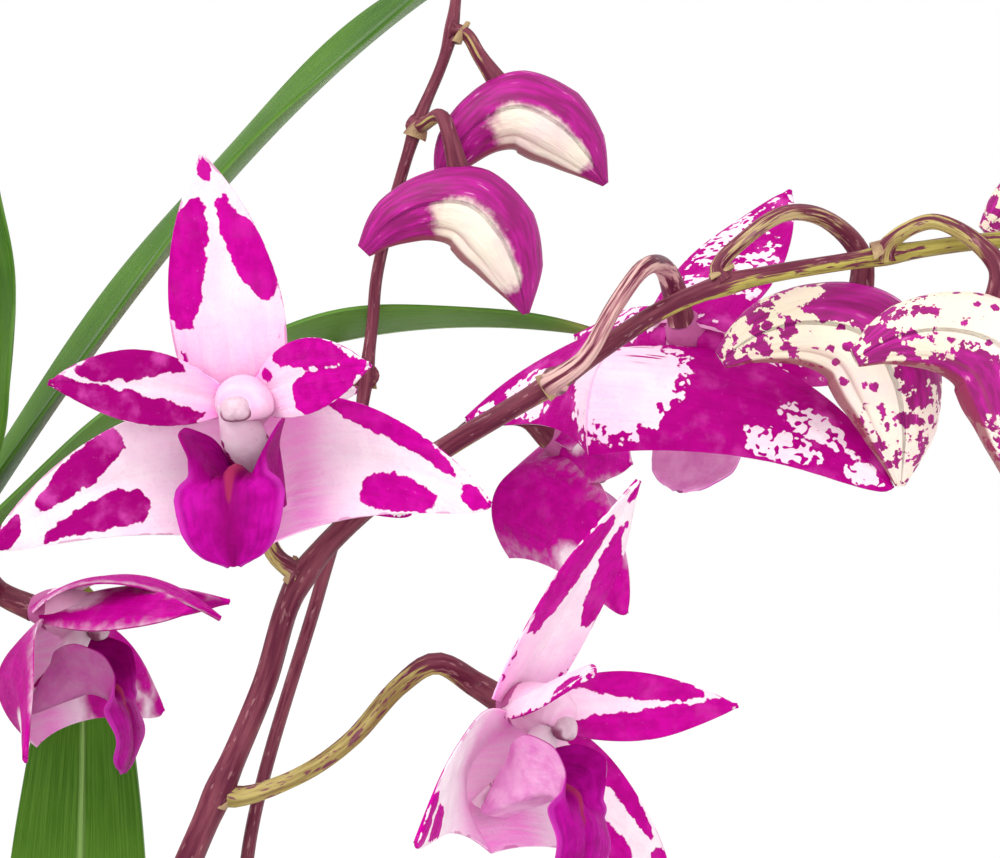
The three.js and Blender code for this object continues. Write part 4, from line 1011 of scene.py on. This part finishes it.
def tepal_part(bloom, part, seed):
    """One tepal of a bloom, with the values at its points that its colours follow."""
    flower, kind = BLOOMS[bloom], part.split("_")[-1]
    coat, soft, wander, drawn_in = COATS[bloom]
    bare = BARE_PLACES if kind == "sepal" else UPPER_BARE_PLACES
    if (bloom, part) == ("bloom_side", "left_sepal"):
        coat, bare = 0.9, ()
    if bloom in ("bloom_far", "bloom_left"):
        bare = bare[2:3]
    across = {"dorsal": (1, 0, 0), "sepal": (0, 1, 0)}.get(kind)
    line = tepal_line(part, flower["chin"], flower["sweeps"])
    bend = flower["bends"].get(part, STRAIGHT)
    shape = (kind, line, across or flower["twists"]["right" in part], bend, seed)
    points, faces, facts = sheet(tepal_surface, *TEPAL_MESH, TEPAL_THICKNESS, 0.35, *shape)
    t, v, side = facts["t"], facts["v"], facts["side"]
    rows = len(t) // 2
    outward = np.mean(points[:rows, 2] - points[rows:, 2]) > 0
    inner = (side if outward else 1 - side) > 0.5
    width = tepal_width(kind, t)
    bands = BANDS.get((bloom, part), BANDS[part])
    inside = bands_on(bands, kind, t, v, np.random.default_rng(seed), wander) - drawn_in
    outside, freckles = coat_on(kind, t, v, coat, bare)
    outside = np.maximum(outside, inside - 0.9 - 1.5 * eased(t, 0.85, 0.7))
    if (bloom, part) == ("bloom_side", "left_petal"):
        outside = np.maximum(outside, 1.1 * (1 - np.hypot((t - 0.78) / 0.13, (v + 0.3) / 0.45)))
    mottled = 0.5 if kind == "sepal" else 1.0
    hem = eased(np.abs(v), 0.7, 0.95) * eased(t, 0.34, 0.14) * (kind == "dorsal")
    # fold adds a pink band across the lower sepals near their base. It is the painted shade of a fold,
    # carried in the blush.
    fold = hump(t, 0.21, 0.1) * {"left_sepal": 0.15, "right_sepal": 0.45}.get(part, 0)
    base = np.exp(-t / 0.3) * (0.5 + 0.5 * np.abs(v))
    streaks = hump(t, 0.1, 0.08) * eased(v, -0.1, 0.7) * (kind == "sepal")
    # On the front bloom the left petal and left sepal get a high depth, which darkens their magenta as
    # painted shade. Elsewhere depth is the magenta's own deeper tone.
    deep = {"left_petal": 0.85, "left_sepal": 0.8}.get(part, 0.1) if bloom == "bloom_face" else 0.25
    return points, faces, {
        "marking": np.where(inner, inside, outside) - 1.1 * v * v * (soft > 0.3) * ~inner,
        "ragged": np.where(inner, 0.15, 0.25 if coat < -1 or soft > 0.3 else mottled),
        "soft": 0 * t + soft,
        "freckles": np.where(inner, hem, freckles * (wander == 1 and soft < 0.3)),
        "streaks": np.where(inner, 0.0, streaks * (coat > 0)),
        "blush": np.where(inner, base + fold, 0.3 * base + 0.08),
        "depth": 0 * t + (0.6 if bloom == "bloom_back" else deep),
        "rim": np.minimum((1 - np.abs(v)) * width, (1 - t) * 17),
        "veins": spot(v * width, t * TEPAL_LENGTH, 9.0 * seed) * MM,
    }


new_finish(
    "waxy_petal", Specular_IOR_Level=0.03, Subsurface_Weight=0.18, Subsurface_Radius=(0.0012, 0.0006, 0.001)
)
veins = grain(0.42, 2, at=read("veins", "Vector"), stretch=(1, 0.1, 1))
ragged, fine = grain(0.95, 2, 0.5), grain(0.3, 2, 0.5)
edge = read("marking") + (ragged.rise(bottom=-1, top=1) * read("ragged") + fine.rise(0.2, 0.8, -0.05, 0.05))
mark = (edge / read("soft") * 0.5).rise(-0.5, 0.5)
freckles = grain(0.5, 0).rise(0.6, 0.65) * read("freckles")
mark = mark | (freckles | veins.rise(0.54, 0.62) * read("streaks")).rise(0.35, 0.6)
mark = mark | (grain(3, 2).rise(0.5, 0.62, -0.1, 0.16) - read("rim")).rise(-0.02, 0.06, top=0.45)
# blush is the pink flush at the tepals' base, plus the painted fold shade on the lower sepals.
white = layers(
    "F3E6EB", (grain(2.2).rise(), "ECD8E3"), (read("blush") * veins.rise(0.2, 0.8, 0.7, 1.2), "FF9CE4"),
    (fine.rise(0.58, 0.74, top=0.22), "DDA8C4"),
)
worn = grain(2.6, 4).rise(0.48, 0.75) * read("depth")
# depth deepens the magenta: the bloom's own tone, and painted shade on the front bloom's left petal and
# sepal.
magenta = layers(
    "B8008C", (ragged.rise(), "CC049E"), (read("depth"), "98006C"),
    (veins.rise(0.35, 0.75, top=0.35), "96006C"), (worn, "D850B4"),
    (fine.rise(0.68, 0.8, top=0.25), "E070C4"),
)
gloss = fine.rise(0.2, 0.8, 0.45, 0.62)
petal_skin = finished(layers(white, (mark, magenta)), gloss, (fine, 0.05), (veins, 0.1))
for order, (name, bloom) in enumerate(BLOOMS.items()):
    parts = ("dorsal", "left_sepal", "right_sepal", "left_petal", "right_petal")
    tepals = [tepal_part(name, part, 5 * order + k) for k, part in enumerate(parts, 1)]
    points, *rest = gathered(tepals)
    place(piece(name + "_tepals", placed(points, bloom), *rest, petal_skin), name)

# Columns
# The column is the orchid's fused stamen and pistil: a waxy hood, pale pink, over a white
# anther cap in two halves. Below it the foot runs down to the chin, with purple at its sides.
COLUMN_LINE = ((0, 0.5, -2.4), (0, 0.6, -0.4), (0, 0.4, 1.6), (0, 0.1, 3.6))
COLUMN_WIDTHS = (1.0, 1.35, 1.65, 1.85, 2.0, 2.08, 2.1, 2.05, 1.9, 1.55, 0.5)
COLUMN_MESH = (60, 32)
FOOT_LINE = ((0, 0, 1.9), (0, -3.2, 0.9), (0, -7, -2.7))
FOOT_WIDTHS, FOOT_HEIGHTS, FOOT_MESH = (1.2, 1.75, 1.5, 1.0), (1.1, 0.9, 0.6, 0.45), (24, 24)
ANTHER_MIDDLE = np.array((-0.1, -0.55, 3.3))


def tube(line, widths, heights, steps, sides, side_axis=(1, 0, 0)):
    """A closed tube of oval section along a line, with the way round and along each point."""
    at, _ = smooth_line(line, steps)
    side = np.broadcast_to(np.array(side_axis, float), at.shape)
    up = np.cross(unit(np.gradient(at, axis=0)), side)
    share = np.linspace(0, 1, steps + 1)
    angles = np.arange(sides) * 2 * pi / sides
    wide = read_off(share, widths)[:, None] * np.cos(angles)
    high = read_off(share, heights)[:, None] * np.sin(angles)
    rings = at[:, None] + side[:, None] * wide[..., None] + up[:, None] * high[..., None]
    angle, share = np.tile(angles, steps + 1), np.repeat(share, sides)
    facts = {"angle": np.append(angle, [0, 0]), "share": np.append(share, [0, 1])}
    return closed(rings, at[[0, -1]], facts)


def leaning(line, offset):
    """The line with each point moved by its share of the way along it times the offset."""
    return np.array(line) + np.linspace(0, 1, len(line))[:, None] * offset


def anther_shape(rows=24, sides=40):
    """A small squarish dome, flatter below, with a faint furrow and a painted shadow line at its foot."""
    polar = np.linspace(0, pi, rows + 1)[1:-1, None]
    angles = np.arange(sides)[None] * 2 * pi / sides
    blocky = lambda wave: np.sign(wave) * np.abs(wave) ** 0.72
    x = np.sin(polar) * blocky(np.cos(angles))
    y = np.sin(polar) * np.where(np.sin(angles) < 0, 0.74 * blocky(np.sin(angles)), np.sin(angles))
    z = np.cos(polar) * (1 - 0.16 * hump(x, 0, 0.12) * np.clip(0.8 - y, 0, 1))
    # A dark line painted along the cap's lower foot, as the shadow where it meets the hood.
    edge = eased(z, 0.6, 0.44) * eased(y, 0.15, -0.15)
    rings, ends = spot(1.15 * x, 1.05 * y, 0.82 * z), [(0, 0, 0.72), (0, 0, -0.82)]
    points, faces, facts = closed(rings, ends, {"edge": np.append(edge, [0, 1])})
    # The rings run downwards, so each face is turned over.
    return points, [(face[0], *face[:0:-1]) for face in faces], facts


new_finish(
    "waxy_column", Specular_IOR_Level=0.1, Subsurface_Weight=0.3, Subsurface_Radius=(0.0016, 0.0009, 0.0014)
)
cloud = grain(1.6, 3)
stain = read("stain") + grain(0.7, 3).rise(bottom=-0.2, top=0.2)
# The third coat tints the hood pink, and in the ring round the anther it paints shade in the crease.
body = layers(
    "F9E4EE", (cloud.rise(), "F1D0E2"), (stain.rise(0.45, 0.6), "98086E"),
    (read("flush").rise(0.0, 1.0, top=0.7), "EE9FD2"), (grain(0.5, 2).rise(0.72, 0.76, top=0.7), "8C5A78"),
)
column_skin = finished(body, cloud.rise(bottom=0.42, top=0.55), (grain(0.35), 0.04))
new_finish("anther_cap", IOR=1.42, Subsurface_Weight=0.3, Subsurface_Radius=(0.001, 0.0009, 0.0009))
# The cap darkens at its lower foot: a painted shadow line.
cap = layers("DCC0CC", (grain(0.8).rise(), "CCAABA"), (read("edge") * 0.9, "8A3A66"))
anther_skin = finished(cap, grain(0.5).rise(bottom=0.35, top=0.5), (grain(0.25), 0.03))
for name, bloom in BLOOMS.items():
    lean = np.array(bloom["hood"])
    hood = leaning(COLUMN_LINE, lean)
    points, faces, facts = tube(hood, COLUMN_WIDTHS, [0.95 * w for w in COLUMN_WIDTHS], *COLUMN_MESH)
    # The hood is cut off flat beneath the anther.
    drop = points[:, 1] - np.interp(points[:, 2], hood[:, 2], hood[:, 1])
    points[:, 1] -= 0.7 * np.minimum(drop + 0.55, 0) * eased(points[:, 2], 0.6, 2.2)
    # A groove rings the anther, with painted shade along it as a pinker ring in the crease, and the
    # column's root is stained.
    anther_at = ANTHER_MIDDLE + lean * (0.3, 0, 0)
    groove = hump(np.hypot(*(points - anther_at)[:, :2].T), 1.35, 0.25) * (points[:, 2] > 2)
    points[:, 2] -= 0.1 * groove
    marks = {"stain": 1.2 * eased(facts["share"], 0.34, 0.2), "flush": 0.5 + 0.3 * groove}
    *foot, facts = tube(leaning(FOOT_LINE, bloom["chin"]), FOOT_WIDTHS, FOOT_HEIGHTS, *FOOT_MESH)
    angle, share = facts["angle"], facts["share"]
    stain = 1.5 * np.cos(angle) ** 4 * hump(share, 0.52, 0.22) * (np.sin(angle) > -0.5)
    points, *rest = gathered([(points, faces, marks), (*foot, {"stain": stain, "flush": 0 * share})])
    place(piece(name + "_column", placed(points, bloom), *rest, column_skin), name)
    points, *rest = anther_shape()
    place(piece(name + "_anther", placed(points + anther_at, bloom), *rest, anther_skin), name)

# Lips
# The lip is hinged at the chin: a trough with an upright lobe each side and a broad front
# lobe that turns down, violet-magenta inside, paler outside, with a raised reddish ridge.
LIP_THICKNESS, LIP_MESH = 0.45, (96, 56)
# How steeply, in degrees, the lip's sides stand at its root, and its front lobe's lie
ROOT_CURL, FRONT_CURL = 84, -8
LIP_LINE = ((0, -7.5, -1.3), (0, -6.2, 1.2), (0, -5.2, 3.8), (0, -6.2, 6), (0, -8.8, 6.9), (0, -11.4, 6.4))
LIP_HALF_WIDTH = (
    (0, 1.8), (0.16, 3.9), (0.26, 5.3), (0.36, 5.8), (0.43, 5.3), (0.49, 3.9), (0.545, 2.9),
    (0.585, 3.75), (0.64, 3.95), (0.73, 3.8), (0.82, 3.5), (0.9, 2.9), (0.96, 2.0), (1, 0.3),
)


def lip_surface(t, v, curls, chin, lip):
    line, _ = smooth_line(LIP_LINE, 200)
    at, ahead = read_off(t, line), read_off(t, unit(np.gradient(line, axis=0)))
    even = np.linspace(-0.06, 1.06, 225)
    window = np.hanning(13) / np.hanning(13).sum()
    widths = np.convolve(np.interp(even, *np.array(LIP_HALF_WIDTH).T), window, "same")
    reach = np.abs(v) * np.interp(t, even, widths)
    lean = ROOT_CURL + (np.where(v < 0, curls[0], curls[1]) - ROOT_CURL) * eased(t, 0.2, 0.42)
    opening = eased(t, 0.48, 0.62)
    curl = np.radians(lean + (FRONT_CURL - lean) * opening)
    floor = np.minimum(reach, 1.5)
    wall = reach - floor
    flare = 0.04 * wall * wall * (1 - opening)
    out = np.sign(v) * (floor + wall * np.cos(curl) + 0.5 * flare)
    # The front lobe's shoulders rise, its rim waves, and a furrow divides it.
    shoulder = -0.5 * opening * v * v * (1 - eased(t, 0.6, 0.95))
    wave = 0.16 * opening * np.abs(v) ** 3 * np.sin(26 * t)
    furrow = -0.2 * opening * hump(reach, 0, 0.4) * (1 - eased(t, 0.75, 0.95))
    ridge = 0.75 * hump(reach, 0, 0.5) * eased(t, 0.2, 0.4) * (1 - eased(t, 0.5, 0.6))
    lift = wall * np.sin(curl) + wave + furrow + ridge
    at = at + spot(out, 0, 0) + chin + eased(t, 0, 0.62)[..., None] * (np.array(lip) - chin)
    return at + np.cross(ahead, (1.0, 0, 0)) * lift[..., None] + ahead * (flare + shoulder)[..., None]


new_finish(
    "velvet_lip", Specular_IOR_Level=0.03, Subsurface_Weight=0.12, Subsurface_Radius=(0.001, 0.0003, 0.001)
)
nap, cloud = grain(0.28, 2), grain(1.5, 3)
veins = grain(0.4, 2, at=read("veins", "Vector"), stretch=(1, 0.12, 1))
body = layers(
    "A0007E", (cloud.rise(), "B80898"), (read("deep"), "780050"),
    (veins.rise(0.4, 0.75, top=0.35), "5E0050"), (read("edge").rise(0.0, 1.0, top=0.5), "C43CB0"),
    (read("callus").rise(0.2, 0.8, top=0.85), "9C2A52"),
    (read("pale").rise(0.0, 1.0), layers("F2B4DF", (cloud.rise(), "E28CCB"))),
)
lip_skin = finished(body, nap.rise(0.2, 0.8, 0.4, 0.6), (nap, 0.06), (veins, 0.08))
for name, bloom in BLOOMS.items():
    bent = (bloom["curls"], bloom["chin"], bloom["lip"])
    points, faces, facts = sheet(lip_surface, *LIP_MESH, LIP_THICKNESS, 0.4, *bent)
    t, v, outer = facts["t"], facts["v"], facts["side"]
    rows = len(t) // 2
    if points[rows // 2, 1] > points[rows + rows // 2, 1]:
        outer = 1 - outer
    front = eased(t, 0.47, 0.58)
    dark = 0.15 if name == "bloom_side" else 0.5
    tips = 0.9 if name == "bloom_back" else 0.35
    pale = outer * (1 - front) * (1 - 0.35 * np.abs(v)) + tips * outer * front
    ridge = hump(v, 0, 0.09) * eased(t, 0.34, 0.44) * (1 - eased(t, 0.6, 0.72))
    facts = {
        "deep": 1.5 * dark * hump(v, 0, 0.3) * eased(t, 0.3, 0.5) + dark * (1 - front),
        "edge": eased(np.abs(v), 0.8, 1) * front,
        "callus": ridge * (1 - outer),
        "pale": pale * {"bloom_face": 0.1, "bloom_left": 0.55}.get(name, 1.0),
        "veins": spot(v * 4, t * 20, 0) * MM,
    }
    place(piece(name + "_lip_lobes", placed(points, bloom), faces, facts, lip_skin), name + "_lip")

# Buds
# A closed bud is horn-shaped: a blunt chin, a shoulder where the stalk joins, and a beak. Its
# three sepals meet in seams, and magenta blotches and dots cover their cream skin. The seams and
# a band along the horn's hollow side are darkened as painted shade between the sepals.
BUD_LINE = (
    (-10.3, -5.5, 0), (-7.4, -3.7, 0), (-3.6, -3, 0), (0, -4, 0), (2, -7.2, 0), (2.8, -10.8, 0),
    (2.9, -14.8, 0),
)
BUD_RADII = (0.75, 2.35, 3.2, 4.1, 4.1, 2.75, 0.35)
BUD_SEAMS = (pi * 0.22, pi * 0.78, -pi / 2)
BUD_STEPS, BUD_SIDES = 90, 60


def bud_part(name, size, seed):
    widths = [0.82 * r for r in BUD_RADII]
    points, faces, facts = tube(BUD_LINE, widths, BUD_RADII, BUD_STEPS, BUD_SIDES, (0, 0, 1))
    # Angle 0 is the side that faces out, and a quarter turn on is under or over the horn.
    angle, share = facts["angle"], facts["share"]
    sunk = np.max([hump((angle - seam + pi) % (2 * pi) - pi, 0, 0.07) for seam in BUD_SEAMS], axis=0)
    axis = read_off(share, smooth_line(BUD_LINE, BUD_STEPS)[0])
    points = axis + (points - axis) * (1 - 0.09 * sunk * np.sin(pi * share) ** 0.5)[:, None]
    # The hollow side of the horn is smooth where the rings of the tube would crowd.
    rings = points[:-2].reshape(BUD_STEPS + 1, BUD_SIDES, 3)
    window = np.hanning(19)[1:-1, None, None] / np.hanning(19).sum()
    smooth = rings.copy()
    for k in range(8, BUD_STEPS - 7):
        smooth[k] = (rings[k - 8 : k + 9] * window).sum(axis=0)
    hollow = eased(np.sin(angle[:-2]), -0.2, 0.5).reshape(BUD_STEPS + 1, BUD_SIDES, 1)
    points[:-2] = (rings + (smooth - rings) * hollow).reshape(-1, 3)
    # Magenta covers the back of the horn between chin and beak, or its belly in one bud.
    under, far = np.sin(angle), "far" in name
    back = eased(under if name == "bud_edge" else -under, -0.1, 0.4)
    if far:
        marking = 1.3 * back - 0.6 + 1.3 * eased(share, 0.45, 0.25) + 1.2 * eased(share, 0.84, 0.94)
    else:
        middle = eased(share, 0.24, 0.42) * eased(share, 0.8, 0.62)
        ends = 0.8 * eased(share, 0.4, 0.16) + 0.6 * eased(share, 0.6, 0.84)
        marking = 1.5 * back * middle - 0.75 + ends
    # seam marks the sunk seams, which the skin paints darker as shade. Under also places a band of painted
    # shade along the hollow side.
    return points * size, faces, {
        "seam": sunk * np.sin(pi * share) ** 0.4, "share": share, "under": under, "marking": marking,
        "soft": 0 * share + (0.45 if far else 0.06), "ragged": 0 * share + (0.2 if far else 0.55),
        "veins": spot(angle * 3, share * 26, 7.0 * seed) * MM,
    }


new_finish(
    "bud_skin", Specular_IOR_Level=0.2, Subsurface_Weight=0.15, Subsurface_Radius=(0.0018, 0.001, 0.001)
)
veins = grain(0.5, 2, at=read("veins", "Vector"), stretch=(1, 0.14, 1))
cream = layers(
    "F6EAD8", (grain(3.2, 3, 0.6).rise(), "F2DCD6"), (read("share").rise(0.55, 0.3, top=0.3), "E6D9A8")
)
edge = read("marking") + grain(1.1, 3, 0.6).rise(bottom=-1, top=1) * read("ragged")
mark = (edge / read("soft") * 0.5).rise(-0.5, 0.5)
at = add("ShaderNodeTexCoord", output="Object")
cells = add("ShaderNodeTexVoronoi", {"Vector": at, "Scale": 1 / (1.35 * MM)}, "Distance")
cells = cells + grain(0.8).rise(bottom=-0.1, top=0.14)
dots = cells.rise(0.3, 0.25) * read("soft").rise(0.3, 0.1) * grain(2.4).rise(0.42, 0.44)
magenta = layers("8E1468", (veins.rise(0.35, 0.7), "B81690"), (veins.rise(0.66, 0.74, top=0.6), "E8B8CC"))
# Over the marked cream, a reddish-brown band along the hollow side and darker seams are both painted shade
# in the gaps between the sepals.
body = layers(
    cream, (mark | dots, magenta), (read("under").rise(0.8, 0.88, top=0.85), "8E2F48"),
    (read("seam").rise(0.35, 0.85, top=0.7), "8A4048"),
)
bud_skin = finished(body, veins.rise(bottom=0.36, top=0.5), (veins, 0.14))
for order, (name, bud) in enumerate(BUDS.items()):
    points, *rest = bud_part(name, bud["size"], order)
    place(piece(name + "_horn", placed(points, bud), *rest, bud_skin), name)

# Floor, light and camera
# A pale seamless floor, a white surround, a soft lamp from the upper left and a weak one from
# the front. The camera stands level with the blooms, close in front of them.
FLOOR_REACH = 6000
EYE = (21.4, -335, 300)
LENS, SENSOR = 151.2, 36
WHITE = (1, 1, 1, 1)
# Energy, size and place, in metres
LAMPS = {"soft_lamp": (4.1, 0.5, (-0.45, -0.5, 0.95)), "front_lamp": (1.0, 0.3, (0.15, -0.7, 0.5))}

new_finish("pale_floor", Emission_Strength=0.12, Emission_Color=WHITE)
floor_points = [(x * FLOOR_REACH, y * FLOOR_REACH, -0.05) for x, y in ((-1, -1), (1, -1), (1, 1), (-1, 1))]
floor = piece("floor", floor_points, [(0, 1, 2, 3)], {}, finished((0.9, 0.9, 0.9, 1), 0.9))
floor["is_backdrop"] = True

scene = bpy.context.scene
scene.view_settings.view_transform = "Standard"
scene.world = bpy.data.worlds.new("white_surround")
scene.world.use_nodes = True
tree = scene.world.node_tree
feed(tree.nodes["Background"], {"Color": WHITE, "Strength": 1.0})

for name, (energy, size, at) in LAMPS.items():
    lamp = linked(name, bpy.data.lights.new(name, "AREA"))
    lamp.data.energy, lamp.data.size, lamp.location = energy, size, at
    lamp.rotation_euler = (Vector((0, 0, 0.28)) - Vector(at)).to_track_quat("-Z", "Y").to_euler()

camera = linked("camera", bpy.data.cameras.new("camera"))
camera.data.lens, camera.data.sensor_width, camera.data.clip_start = LENS, SENSOR, 0.01
camera.location = Vector(EYE) * MM
camera.rotation_euler = (pi / 2, 0, 0)
scene.camera = camera

# The box round every shown piece but the floor
low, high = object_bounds()
